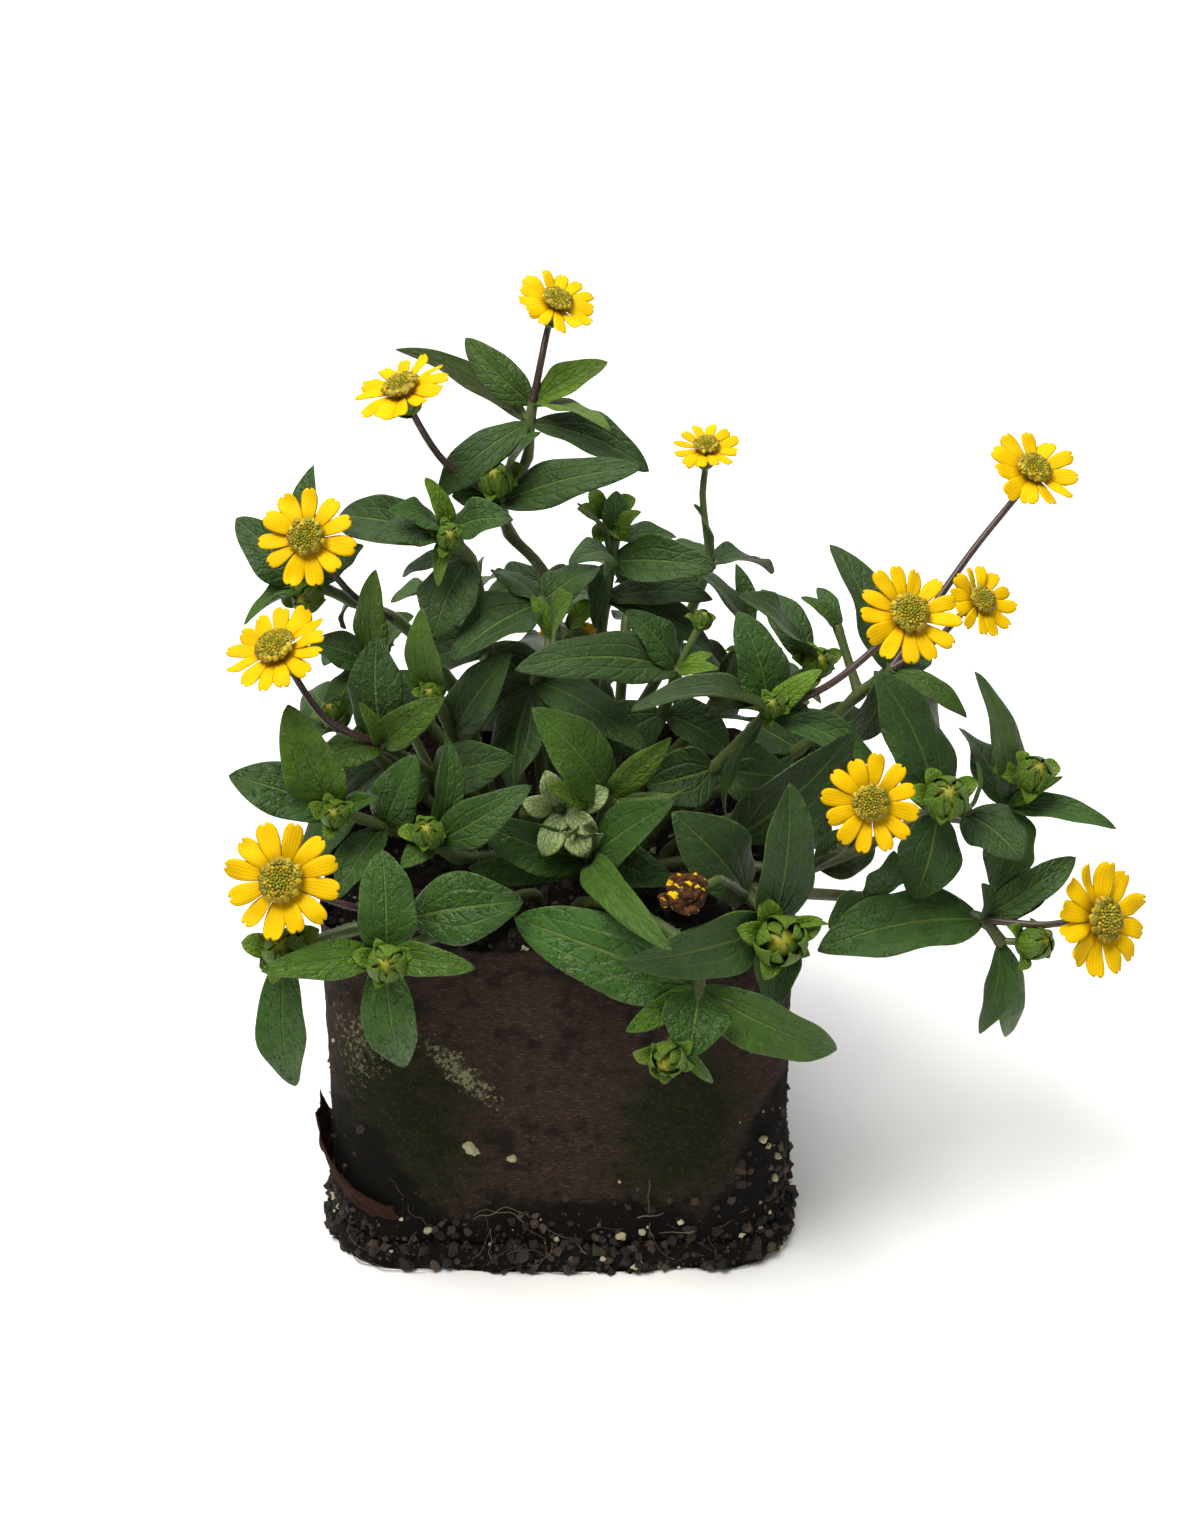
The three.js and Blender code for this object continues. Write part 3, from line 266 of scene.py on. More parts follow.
def makeLeafMaterial():
    material, tree, shader = newMaterial("leafGreen")
    spot = readAttribute(tree, "leafSpot").outputs["Vector"]
    tone = readAttribute(tree, "tone").outputs["Fac"]
    under = readAttribute(tree, "under").outputs["Fac"]
    wet = readAttribute(tree, "wet").outputs["Fac"]
    where = objectSpot(tree)
    part = addNode(tree, "ShaderNodeSeparateXYZ", {0: spot}).outputs
    veins = placeGroup(tree, leafVeins, {"Spot": spot, "Pairs": 7.0})
    spread = placeGroup(tree, mottle, {"Spot": where, "Patch": 260.0, "Tooth": 2200.0})
    ramp = tree.nodes.new("ShaderNodeValToRGB")
    ramp.color_ramp.elements[0].color = (*leafLook["old"], 1)
    ramp.color_ramp.elements[1].color = (*leafLook["young"], 1)
    middle = ramp.color_ramp.elements.new(0.5)
    middle.color = (*leafLook["grown"], 1)
    feed(tree, tone, ramp.inputs[0])
    shade = plus(tree, 0.62, plus(tree, times(tree, spread["Shade"], 0.4), times(tree, part[2], 0.42)))
    fresh = blendColour(tree, times(tree, wet, 0.6), ramp.outputs[0], leafLook["fresh"])
    flat = scaled(tree, fresh, shade)
    ribbed = blendColour(tree, times(tree, veins["Rib"], 0.75), flat, leafLook["rib"])
    nerved = blendColour(tree, times(tree, veins["Nerve"], 0.3), ribbed, leafLook["rib"])
    rim = clampedRange(tree, calc(tree, "ABSOLUTE", part[0]), 0.93, 0.99, 0.0, 0.6)
    edged = blendColour(tree, rim, nerved, leafLook["rib"])
    turned = blendColour(tree, times(tree, under, 0.8), edged, leafLook["under"])
    pale = times(tree, readAttribute(tree, "pale").outputs["Fac"],
            clampedRange(tree, spread["Shade"], 0.3, 0.6, 0.5, 1.0))
    feed(tree, blendColour(tree, pale, turned, leafLook["pale"]), shader.inputs["Base Color"])
    film = times(tree, clampedRange(tree, noiseOf(tree, where, 160.0, 2.0), 0.4, 0.52), wet)
    bead = times(tree, clampedRange(tree, noiseOf(tree, where, 900.0, 1.0), 0.56, 0.66), film)
    rough = addNode(tree, "ShaderNodeMix", {0: film, 2: plus(tree, leafLook["roughness"],
            times(tree, spread["Shade"], 0.14)), 3: leafLook["wetRoughness"]}, data_type="FLOAT")
    feed(tree, rough.outputs[0], shader.inputs["Roughness"])
    shader.inputs["Specular IOR Level"].default_value = 0.27
    shader.inputs["Sheen Weight"].default_value = 0.03
    shader.inputs["Sheen Roughness"].default_value = 0.5
    height = plus(tree, plus(tree, veins["Height"], times(tree, bead, 1.6)),
            times(tree, spread["Height"], 0.8))
    roughened(tree, shader, 0.85, 0.00045, height)
    return material


stemLook = {"green": (0.070, 0.115, 0.022), "purple": (0.040, 0.015, 0.013), "roughness": 0.45}


def makeStemMaterial():
    material, tree, shader = newMaterial("stemSkin")
    where = objectSpot(tree)
    tint = readAttribute(tree, "tint").outputs["Fac"]
    spread = placeGroup(tree, mottle, {"Spot": where, "Patch": 180.0, "Tooth": 1800.0})
    share = clampedRange(tree,
            plus(tree, tint, times(tree, less(tree, spread["Shade"], 0.5), 0.35)), 0.0, 1.0)
    body = blendColour(tree, share, stemLook["green"], stemLook["purple"])
    shade = plus(tree, 0.7, times(tree, spread["Shade"], 0.6))
    feed(tree, scaled(tree, body, shade), shader.inputs["Base Color"])
    shader.inputs["Roughness"].default_value = stemLook["roughness"]
    shader.inputs["Sheen Weight"].default_value = 0.05
    roughened(tree, shader, 0.4, 0.0001, spread["Height"])
    return material


petalLook = {"lit": (0.68, 0.415, 0.0), "root": (0.42, 0.20, 0.0), "back": (0.44, 0.25, 0.003),
        "roughness": 0.62}


def makePetalMaterial():
    material, tree, shader = newMaterial("petalYellow")
    spot = readAttribute(tree, "leafSpot").outputs["Vector"]
    chance = readAttribute(tree, "chance").outputs["Fac"]
    under = readAttribute(tree, "under").outputs["Fac"]
    part = addNode(tree, "ShaderNodeSeparateXYZ", {0: spot}).outputs
    rootShare = clampedRange(tree, part[1], 0.02, 0.42, 0.9, 0.0)
    lines = calc(tree, "SINE", times(tree, part[0], 19.0))
    streak = clampedRange(tree, lines, 0.2, 1.0, 0.0, 0.22)
    body = blendColour(tree, rootShare, petalLook["lit"], petalLook["root"])
    body = blendColour(tree, streak, body, petalLook["root"])
    body = blendColour(tree, times(tree, under, 0.75), body, petalLook["back"])
    shade = plus(tree, 0.9, times(tree, chance, 0.14))
    feed(tree, scaled(tree, body, shade), shader.inputs["Base Color"])
    shader.inputs["Roughness"].default_value = petalLook["roughness"]
    shader.inputs["Specular IOR Level"].default_value = 0.07
    height = plus(tree, times(tree, lines, 0.5), noiseOf(tree, objectSpot(tree), 2500.0, 2.0))
    roughened(tree, shader, 0.35, 0.0001, height)
    return material


floretLook = {"inner": (0.20, 0.205, 0.003), "outer": (0.33, 0.22, 0.002), "speck": (0.55, 0.38, 0.003)}


def makeFloretMaterial():
    material, tree, shader = newMaterial("floretOlive")
    ring = readAttribute(tree, "ring").outputs["Fac"]
    chance = readAttribute(tree, "chance").outputs["Fac"]
    tip = readAttribute(tree, "tip").outputs["Fac"]
    body = blendColour(tree, clampedRange(tree, ring, 0.35, 0.8), floretLook["inner"], floretLook["outer"])
    body = blendColour(tree, times(tree, clampedRange(tree, chance, 0.55, 0.95, 0.0, 0.7), tip), body,
            floretLook["speck"])
    shade = plus(tree, 0.85, plus(tree, times(tree, chance, 0.15), times(tree, tip, 0.15)))
    feed(tree, scaled(tree, body, shade), shader.inputs["Base Color"])
    shader.inputs["Roughness"].default_value = 0.6
    roughened(tree, shader, 0.4, 0.0001, noiseOf(tree, objectSpot(tree), 3500.0, 2.0))
    return material


def makeHairMaterial():
    material, tree, shader = newMaterial("hairPale")
    tone = noiseOf(tree, objectSpot(tree), 90.0, 1.0)
    feed(tree, blendColour(tree, tone, (0.22, 0.24, 0.14), (0.5, 0.5, 0.38)), shader.inputs["Base Color"])
    shader.inputs["Roughness"].default_value = 0.6
    return material


leafGreen = makeLeafMaterial()
hairPale = makeHairMaterial()
stemSkin = makeStemMaterial()
petalYellow = makePetalMaterial()
floretOlive = makeFloretMaterial()
print("plant materials ready")

# the plant's plan
eye = np.array((8, -419.8, 318.7))
upSeen = np.array((0, 0.4848, 0.8746))
toEye = np.array((0, -0.8746, 0.4848))
plant = {"seed": 4217, "soilTop": 67, "footRise": 3.0, "rooted": 9.0, "disc": 0.4, "shoulder": 0.85,
        "bluntness": 0.65, "gap": 0.35, "fold": 0.24, "spread": 0.98, "arch": 0.09, "stem": 1.25,
        "twig": 0.95, "stalk": 0.8, "clear": 2.2, "sleeveHalf": 44, "sleeveTop": 72,
        "mound": np.array((4, 0, 78))}

# One entry for each leafy stem, as places seen by an onlooker: across and up on the plant's middle
# plane and the depth at which the line of sight stops. leaves: joint, tip, width, roll, tone.
sprays = {
    "top": {"foot": [-2, 6], "joints": {"a": [-2, 126, 6], "b": [-8.5, 135, 5], "c": [-10, 141, 2],
            "d": [-5, 150, 5], "e": [-4.5, 156.5, 6], "f": [-4, 160, 7]},
        "runs": [["foot", "a", "b", "c"], ["c", "d", "e", "f"]],
        "leaves": [["f", -15.7, 172.3, 12, 7, -50, 0.6], ["f", 9.2, 168, 6, 6, 20, 0.8],
            ["e", -27, 171.3, 10, 6, 75, 0.2], ["f", 10, 155.5, -4, 6, 0, 0.8],
            ["e", 17, 148, 0, 8, 0, 0.2], ["e", -22, 142, -4, 8, 0, 0.25], ["c", -3.5, 155, -2, 9, 0, 0.5],
            ["c", 14.5, 148.5, -8, 9, 0, 0.15], ["c", -18.5, 143, -10, 8, 0, 0.25],
            ["a", -14, 120, 12, 10, 0, 0.2], ["a", 9, 120, 14, 10, 0, 0.25]],
        "buds": [["c", -11, 145.5, -1, 6]]},
    "crown_left": {"foot": [-8, 5], "joints": {"a": [-13, 112, -2], "b": [-16, 130, -7],
            "c": [-20, 135, -10]},
        "runs": [["foot", "a", "b", "c"]],
        "leaves": [["c", -8.5, 138.5, -16, 8, 0, 0.45], ["c", -33, 134.5, -16, 9, 0, 0.3],
            ["c", -23.3, 146, -10, 4.5, 30, 0.9], ["c", -30, 140, -12, 7, 20, 0.5],
            ["c", -22, 124.5, -17, 3.5, 0, 0.9], ["c", -41, 139, -4, 10, 0, 0.35],
            ["b", -23.5, 114, -18, 11, 0, 0.15], ["b", -29, 127, 2, 5, 0, 0.4],
            ["a", -27, 108, -2, 10, 0, 0.15], ["a", -2, 102, -2, 10, 0, 0.2]],
        "buds": [["c", -19.5, 134.5, -14, 4.5]]},
    "left_top": {"foot": [-13, 10], "joints": {"a": [-20, 104, 6], "b": [-30, 117.5, 4],
            "c": [-38, 121.5, 1], "d": [-44, 124.5, -1]},
        "runs": [["foot", "a", "b", "c", "d"]],
        "leaves": [["d", -45, 148.3, 8, 7, 0, 0.4], ["d", -58.5, 138, 4, 10, 0, 0.35],
            ["d", -58.5, 117, -8, 7, 0, 0.6], ["d", -35.5, 133, 4, 6, 0, 0.2],
            ["c", -40, 116, 8, 4, 0, 0.3], ["a", -32, 102, 8, 10, 0, 0.25], ["a", -10, 96, 8, 10, 0, 0.2]],
        "buds": [["d", -46.3, 122, -4, 5.5]]},
    "left_middle": {"foot": [-15, -1], "joints": {"a": [-24, 84, -9], "b": [-33.5, 91, -20],
            "c": [-34, 108, -7]},
        "runs": [["foot", "a", "b"], ["a", "c"]],
        "leaves": [["b", -34, 114, -16, 10.5, 0, 0.15], ["b", -22, 101, -26, 7, 0, 0.75],
            ["b", -37.5, 100, -24, 4, 30, 0.9], ["b", -46.5, 88, -24, 9, 0, 0.7],
            ["c", -33.7, 127.5, -8, 7, 0, 0.7], ["c", -46, 113, -8, 9, 0, 0.35],
            ["c", -44.5, 100.5, -12, 6, 0, 0.6], ["a", -10, 88, -10, 11, 0, 0.15],
            ["a", -36, 79, -8, 11, 0, 0.2]],
        "buds": []},
    "left_low": {"foot": [-15, -9], "joints": {"a": [-34, 73, -24], "b": [-43, 76.5, -27]},
        "runs": [["foot", "a", "b"]],
        "leaves": [["b", -51.3, 99.5, -26, 10.5, 0, 0.75], ["b", -63.5, 84.5, -30, 11, 0, 0.3],
            ["b", -35, 79.5, -32, 4, 0, 0.5], ["a", -27.8, 88, -28, 10, 0, 0.2],
            ["a", -44, 57, -36, 8, 0, 0.2]],
        "buds": [["b", -43.5, 75.8, -31, 5]]},
    "left_foot": {"foot": [-10, -16], "joints": {"a": [-30, 52, -44], "b": [-42, 49, -47],
            "c": [-55, 44, -49]},
        "runs": [["foot", "a", "b", "c"]],
        "leaves": [["c", -56, 9.5, -53, 9, 0, 0.35], ["c", -60.5, 40, -55, 4, 0, 0.8],
            ["c", -51, 50, -43, 5, 0, 0.7], ["a", -7.5, 56, -46, 13, 0, 0.4]],
        "buds": [["c", -55.5, 44.5, -53, 7]]},
    "front_left": {"foot": [-4, -21], "joints": {"a": [-21, 49.5, -39], "b": [-35, 43, -52]},
        "runs": [["foot", "a", "b"]],
        "leaves": [["b", -60, 39.5, -60, 7, 0, 0.8], ["b", -17.5, 40, -60, 6, 0, 0.7],
            ["b", -34.5, 67.5, -46, 11, 0, 0.4], ["b", -33, 14.5, -56, 10.5, 0, 0.55]],
        "buds": [["b", -35, 41, -56, 6.5]]},
    "inner_left": {"foot": [-8, -9], "joints": {"a": [-20, 66, -24], "b": [-24.5, 69, -30]},
        "runs": [["foot", "a", "b"]],
        "leaves": [["b", -20.5, 92.5, -22, 6, 75, 0.4], ["b", -5.7, 81.5, -34, 8.5, 0, 0.3],
            ["b", -31, 64, -36, 5, 0, 0.6]],
        "buds": [["b", -25.5, 71.5, -33, 5.5]]},
    "heart_left": {"foot": [-11, 2], "joints": {"a": [-20, 93, -12], "b": [-23, 101, -17]},
        "runs": [["foot", "a", "b"]],
        "leaves": [["b", -25.3, 119.5, -17, 8, 0, 0.65], ["b", -30, 107, -18, 3.5, 0, 0.5],
            ["a", -9.5, 110, -20, 10, 0, 0.2]],
        "buds": [["b", -24, 102, -21, 4]]},
    "heart": {"foot": [-2, -1], "joints": {"a": [-4, 105, -8], "b": [0, 113, -12], "c": [-3, 121, -8]},
        "runs": [["foot", "a", "b", "c"]],
        "leaves": [["c", -20, 109.5, -20, 12, 0, 0.25], ["b", 2, 122.5, -20, 11, 0, 0.75],
            ["b", -4.5, 122.5, -18, 4, 0, 0.8], ["a", -9, 79, -26, 13, 0, 0.35],
            ["a", 16.5, 91, -22, 10, 0, 0.15], ["a", -17, 95, -6, 10, 0, 0.15],
            ["c", 8, 128.5, 2, 9, 0, 0.3], ["c", -12, 128, 0, 9, 0, 0.35]],
        "buds": []},
    "crown_right": {"foot": [4, 6], "joints": {"a": [9, 122, 0], "b": [10, 129.5, 0], "c": [10.5, 134, 1]},
        "runs": [["foot", "a", "b", "c"]],
        "leaves": [["b", 4.3, 141.5, -3, 4.5, 60, 0.85], ["c", 11, 143.5, 5, 5, 0, 0.5],
            ["c", 15, 139.5, -1, 5, 0, 0.85], ["c", 22, 134.5, 5, 7, 0, 0.3],
            ["b", 29, 128.5, -3, 9, 0, 0.3], ["b", 20.5, 127, -9, 5, 0, 0.85],
            ["b", 2.8, 129.5, -8, 7, 0, 0.25], ["b", 7, 114.5, -12, 6, 0, 0.5],
            ["a", 29, 122.5, 2, 8, 0, 0.12], ["a", 30, 112, -8, 8, 0, 0.25]],
        "buds": []},
    "heart_right": {"foot": [9, -1], "joints": {"a": [20, 98, -7], "b": [22.5, 107, -11]},
        "runs": [["foot", "a", "b"]],
        "leaves": [["b", -6.5, 109, -24, 10, 0, 0.1], ["b", 13.5, 119.5, -12, 8.5, 0, 0.45],
            ["b", 29, 110.5, -12, 4, 0, 0.85], ["b", 30, 107.5, -18, 3.5, 0, 0.8],
            ["a", 8, 90, -10, 11, 0, 0.2], ["a", 33, 90, -8, 10, 0, 0.2]],
        "buds": [["b", 27, 117.5, -9, 3.5]]},
    "right_middle": {"foot": [15, -6], "joints": {"a": [30, 86, -14], "b": [40, 98, -19]},
        "runs": [["foot", "a", "b"]],
        "leaves": [["b", 34.5, 119, -16, 10, 0, 0.4], ["b", 29.8, 98, -28, 5.5, 0, 0.8],
            ["b", 49.5, 107, -22, 5.5, 0, 0.85], ["b", 47.5, 99, -26, 5, 0, 0.3],
            ["b", 31, 76, -26, 9, 75, 0.3], ["b", 10, 100.5, -33, 13, 0, 0.12],
            ["b", 62, 86.5, -24, 8, 0, 0.5], ["a", 17, 82, -18, 12, 0, 0.2],
            ["a", 44, 84, -12, 12, 0, 0.2]],
        "buds": [["b", 40.5, 99.5, -23, 4.5]]},
    "right_top": {"foot": [12, 9], "joints": {"a": [30, 100, 8], "b": [35.5, 114, 5], "c": [47.5, 107, 1]},
        "runs": [["foot", "a", "b"], ["a", "c"]],
        "leaves": [["c", 34, 122.5, -6, 12, 20, 0.2], ["c", 38, 124, 8, 7, 0, 0.2],
            ["b", 25, 129, -2, 9, 0, 0.15], ["b", 33.3, 129, 10, 5, 0, 0.5], ["a", 42, 112, 14, 10, 0, 0.2],
            ["a", 24, 113, 12, 10, 0, 0.25]],
        "buds": [["c", 49, 108.5, -3, 5.5]]},
    "right_shoulder": {"foot": [18, 2], "joints": {"a": [46, 90, -2], "b": [57, 102, -6],
            "c": [62.5, 107, -8], "d": [52.5, 115.5, 0]},
        "runs": [["foot", "a", "b", "c"], ["b", "d"]],
        "leaves": [["c", 78, 97.5, -14, 6, 0, 0.6], ["c", 70.5, 109.5, -2, 5, 0, 0.5],
            ["c", 50.5, 133, 2, 11, 0, 0.25], ["c", 57, 91, -6, 8, 0, 0.1], ["c", 73.5, 89, 2, 9, 0, 0.15],
            ["d", 45.5, 122.5, 2, 4, 0, 0.6], ["d", 48.3, 124.5, 6, 4, 0, 0.5],
            ["a", 59, 98, 6, 10, 0, 0.2], ["a", 44, 74, -6, 12, 0, 0.2], ["a", 36, 96, 6, 10, 0, 0.2]],
        "buds": []},
    "back_stalk": {"foot": [6, 15], "joints": {"a": [22, 112, 16], "b": [28.3, 129, 15]},
        "runs": [["foot", "a", "b"]],
        "leaves": [["b", 25.5, 141, 15, 8, 0, 0.35], ["b", 40, 128, 26, 9, 0, 0.4],
            ["b", 16, 130, 28, 9, 0, 0.3], ["a", 34, 98, 32, 11, 0, 0.3], ["a", 10, 112, 32, 11, 0, 0.35],
            ["b", 20, 120, 24, 9, 0, 0.25], ["a", 8, 122, 12, 10, 0, 0.2]],
        "buds": []},
    "right_rim": {"foot": [11, -20], "joints": {"a": [34, 70, -26], "b": [37, 57, -35],
            "c": [42.5, 50.5, -42]},
        "runs": [["foot", "b", "c"], ["b", "a"]],
        "leaves": [["a", 56.5, 92.5, -34, 15, 0, 0.15], ["b", 22.3, 76, -42, 13, 0, 0.15],
            ["c", 45, 82, -42, 12, 0, 0.3], ["c", 13, 41, -61, 12, 0, 0.2], ["c", 43, 29, -50, 9, 0, 0.4],
            ["c", 53.5, 50.5, -50, 3, 0, 0.8]],
        "buds": [["c", 44, 46.5, -50, 9]]},
    "front": {"foot": [4, -24], "joints": {"a": [24, 46.5, -44], "b": [28, 35, -50], "c": [23, 21.5, -57]},
        "runs": [["foot", "a", "b", "c"]],
        "leaves": [["b", -9, 52, -44, 15, 0, 0.35], ["b", 13.5, 24.5, -56, 5.5, 0, 0.85],
            ["b", 26, 18, -60, 12, 0, 0.3], ["b", 62, 16, -52, 13, 0, 0.6],
            ["c", 20.5, 12.5, -61, 3.5, 0, 0.9], ["c", 31.5, 11.5, -58, 3, 0, 0.8]],
        "buds": [["c", 21.8, 17.5, -59, 6.5]]},
    "inner_front": {"foot": [2, -12], "joints": {"a": [6, 65.5, -26], "b": [9.5, 79.5, -24]},
        "runs": [["foot", "a", "b"]],
        "leaves": [["b", -3.5, 98.5, -30, 12, 0, 0.6], ["b", 21.5, 92.5, -28, 6, 20, 0.85],
            ["b", 25.5, 81.5, -34, 4.5, 160, 0.9], ["b", -2, 82, -34, 6, 0, 0.85],
            ["a", -7.5, 77.5, -38, 10, 150, 0.95], ["a", -16, 73.5, -34, 10, 0, 0.35],
            ["a", 22, 78.5, -34, 11, 0, 0.25], ["a", 22, 60.5, -34, 10, 0, 0.25],
            ["a", 19.5, 46.5, -48, 7, 0, 0.6], ["a", -18, 63, -27, 7, 0, 0.5]],
        "buds": []},
    "right_arm": {"foot": [19, -11], "joints": {"a": [50, 64, -22], "b": [73.5, 76, -24],
            "c": [79, 76, -22]},
        "runs": [["foot", "a", "b", "c"]],
        "leaves": [["a", 62, 70, -16, 10, 0, 0.2], ["b", 61, 107, -18, 14, 0, 0.4],
            ["b", 70.5, 56, -34, 12, 0, 0.5], ["c", 91, 65.5, -32, 12, 0, 0.2],
            ["c", 81, 87, -28, 3.5, 0, 0.8]],
        "buds": [["b", 75, 79.3, -30, 7.5]]},
    "right_back": {"foot": [21, -5], "joints": {"a": [46, 78, -9], "b": [80, 75, -14],
            "c": [87, 77.5, -13]},
        "runs": [["foot", "a", "b", "c"]],
        "leaves": [["c", 80, 106.5, -10, 10, 0, 0.6], ["c", 76.5, 95, -4, 10, 0, 0.15],
            ["c", 108.5, 73.5, -20, 7, 0, 0.45], ["c", 86, 58.5, -22, 13, 0, 0.55],
            ["c", 96.5, 84, -20, 3, 0, 0.7], ["a", 58, 86, -4, 11, 0, 0.2], ["a", 52, 68, -14, 11, 0, 0.2]],
        "buds": [["c", 91.5, 84.5, -16, 6.5]]},
    "far_right": {"foot": [16, -17], "joints": {"a": [42, 58, -32], "b": [61, 56.5, -27],
            "c": [84, 51.5, -30], "d": [88, 46.5, -32]},
        "runs": [["foot", "a", "b", "c", "d"]],
        "leaves": [["c", 52, 45.5, -40, 14, 0, 0.35], ["c", 84, 59.5, -34, 6, 0, 0.4],
            ["c", 97, 63, -22, 8, 0, 0.3], ["c", 101.5, 66, -16, 7, 0, 0.2],
            ["d", 86, 23.5, -36, 6.5, 0, 0.5], ["d", 92, 22, -30, 6.5, 0, 0.55],
            ["b", 66, 67, -32, 8, 0, 0.35], ["b", 54, 49.5, -36, 8, 0, 0.3]],
        "buds": [["d", 95, 46, -34, 6]]}
}

# Each flower head: spray, joint, a place its stalk passes, middle, radius, number of rays, tilts
blooms = [
  ["top", "f", [-2.4, 168, 8], [0.3, 178.5, 9], 7.6, 13, 18, 36],
  ["top", "c", [-20, 149, -2], [-27, 162.5, -6], 8.8, 12, -24, 42],
  ["left_top", "b", [-38, 122.8, -3], [-45.5, 134, -9], 9.2, 11, -4, 8],
  ["left_middle", "b", [-44, 96.5, -23], [-52.3, 111.2, -23], 9.9, 13, -20, 34],
  ["left_foot", "a", [-44, 55.5, -50], [-54.6, 60.6, -53], 10.5, 12, -6, 6],
  ["back_stalk", "b", [26.6, 143, 17], [27, 151.5, 17], 6.5, 12, 0, 40],
  ["right_shoulder", "c", [76, 131, 4], [86, 147, 6], 8.8, 11, 16, 30],
  ["right_middle", "b", [52, 104.5, -23], [65.2, 118.4, -25], 9.8, 13, 12, 18],
  ["right_shoulder", "c", [71, 113.5, -6], [78.4, 121.3, -4], 7.2, 12, 26, 18],
  ["right_arm", "a", [56, 69, -33], [60.4, 78.2, -39], 9, 12, 0, 2],
  ["far_right", "c", [97, 50.3, -33], [107.4, 51.5, -36], 11.2, 12, 34, 4]
]

# The withered head: spray, joint, a place its stalk passes, middle, radius
withered = ["right_rim", "b", [31, 61, -46], [25, 57, -52], 4.2]

# Shoots on the far side: direction, reach, height, foot, flower or not
rearShoots = [
  [10, 44, 92, 26, 4, False], [37, 46, 93, 20, 14, False], [65, 38, 106, 11, 22, False],
  [92, 42, 97, 1, 24, True], [119, 39, 105, -8, 21, False], [146, 42, 97, -17, 16, False],
  [174, 42, 92, -21, 4, False]
]


def seeded(seed):
    state = [seed]

    def draw():
        state[0] = (state[0] * 16807) % 2147483647
        return (state[0] - 1) / 2147483646
    return draw


def unit(v):
    return v / np.linalg.norm(v)


def seen(spot):
    across, up, depth = spot
    share = (depth - eye[1]) / -eye[1]
    return eye + (np.array((across, 0, up)) - eye) * share


def turnAbout(v, axis, degrees):
    a = math.radians(degrees)
    return v * math.cos(a) + np.cross(axis, v) * math.sin(a) + axis * np.dot(axis, v) * (1 - math.cos(a))


# A smooth line through the points, cut in pieces of about the given length
def chainOf(points, piece):
    corners = [points[0]]
    last = len(points) - 1
    for i in range(last):
        before = points[i - 1] if i > 0 else 2 * points[0] - points[1]
        after = points[i + 2] if i + 2 <= last else 2 * points[last] - points[last - 1]
        p = (before, points[i], points[i + 1], after)
        d = [math.sqrt(np.linalg.norm(p[k + 1] - p[k])) for k in range(3)]
        d[1] = d[1] if d[1] > 1e-4 else 1.0
        d[0] = d[0] if d[0] > 1e-4 else d[1]
        d[2] = d[2] if d[2] > 1e-4 else d[1]
        t1 = ((p[1] - p[0]) / d[0] - (p[2] - p[0]) / (d[0] + d[1]) + (p[2] - p[1]) / d[1]) * d[1]
        t2 = ((p[2] - p[1]) / d[1] - (p[3] - p[1]) / (d[1] + d[2]) + (p[3] - p[2]) / d[2]) * d[1]
        count = max(1, math.floor(np.linalg.norm(points[i + 1] - points[i]) / piece + 0.5))
        for k in range(1, count + 1):
            w = k / count
            c2 = -3 * p[1] + 3 * p[2] - 2 * t1 - t2
            c3 = 2 * p[1] - 2 * p[2] + t1 + t2
            corners.append(p[1] + t1 * w + c2 * w * w + c3 * w ** 3)
    return corners


def makeBlade(joint, tip, width, roll, phase):
    along = unit(tip - joint)
    base = joint + along * 0.2
    middle = (base + tip) / 2
    face = unit(middle - plant["mound"]) * 0.6
    face[2] += 0.6
    if middle[1] < 14:
        face = face + toEye * 0.9
    face = turnAbout(unit(face - along * np.dot(face, along)), along, roll)
    return {"base": base, "along": along, "face": face, "side": np.cross(along, face),
            "length": np.linalg.norm(tip - base), "width": width * plant["spread"], "phase": phase}


def halfWidth(blade, t):
    body = np.sin(math.pi * np.minimum(t, 0.999) ** plant["shoulder"]) ** plant["bluntness"]
    return 0.5 * blade["width"] * body * (1 + 0.06 * np.sin(9 * t + blade["phase"]))


def edgeRipple(blade, half, t, s):
    return 0.1 * s * s * half * np.sin(6 * t + blade["phase"] + np.where(s > 0, 1.7, 0))


def bladePoints(blade, t, s):
    half = np.maximum(0.55, halfWidth(blade, t))
    ripple = edgeRipple(blade, half, t, s)
    lift = plant["arch"] * blade["length"] * 4 * t * (1 - t) + np.abs(s) * half * plant["fold"] + ripple
    return (blade["base"] + np.multiply.outer(t * blade["length"], blade["along"])
            + np.multiply.outer(lift, blade["face"]) + np.multiply.outer(s * half, blade["side"]))


def headFrame(centre, right, up):
    a, b = math.radians(right), math.radians(up)
    normal = (toEye * math.cos(a) * math.cos(b) + np.array((math.sin(a) * math.cos(b), 0, 0))
            + upSeen * math.sin(b))
    x = unit(np.cross(upSeen, normal))
    return {"centre": centre, "x": x, "y": np.cross(normal, x), "normal": normal}


def inHead(head, x, y, z):
    return head["centre"] + head["x"] * x + head["y"] * y + head["normal"] * z


def longer(v, length):
    return unit(v) * length


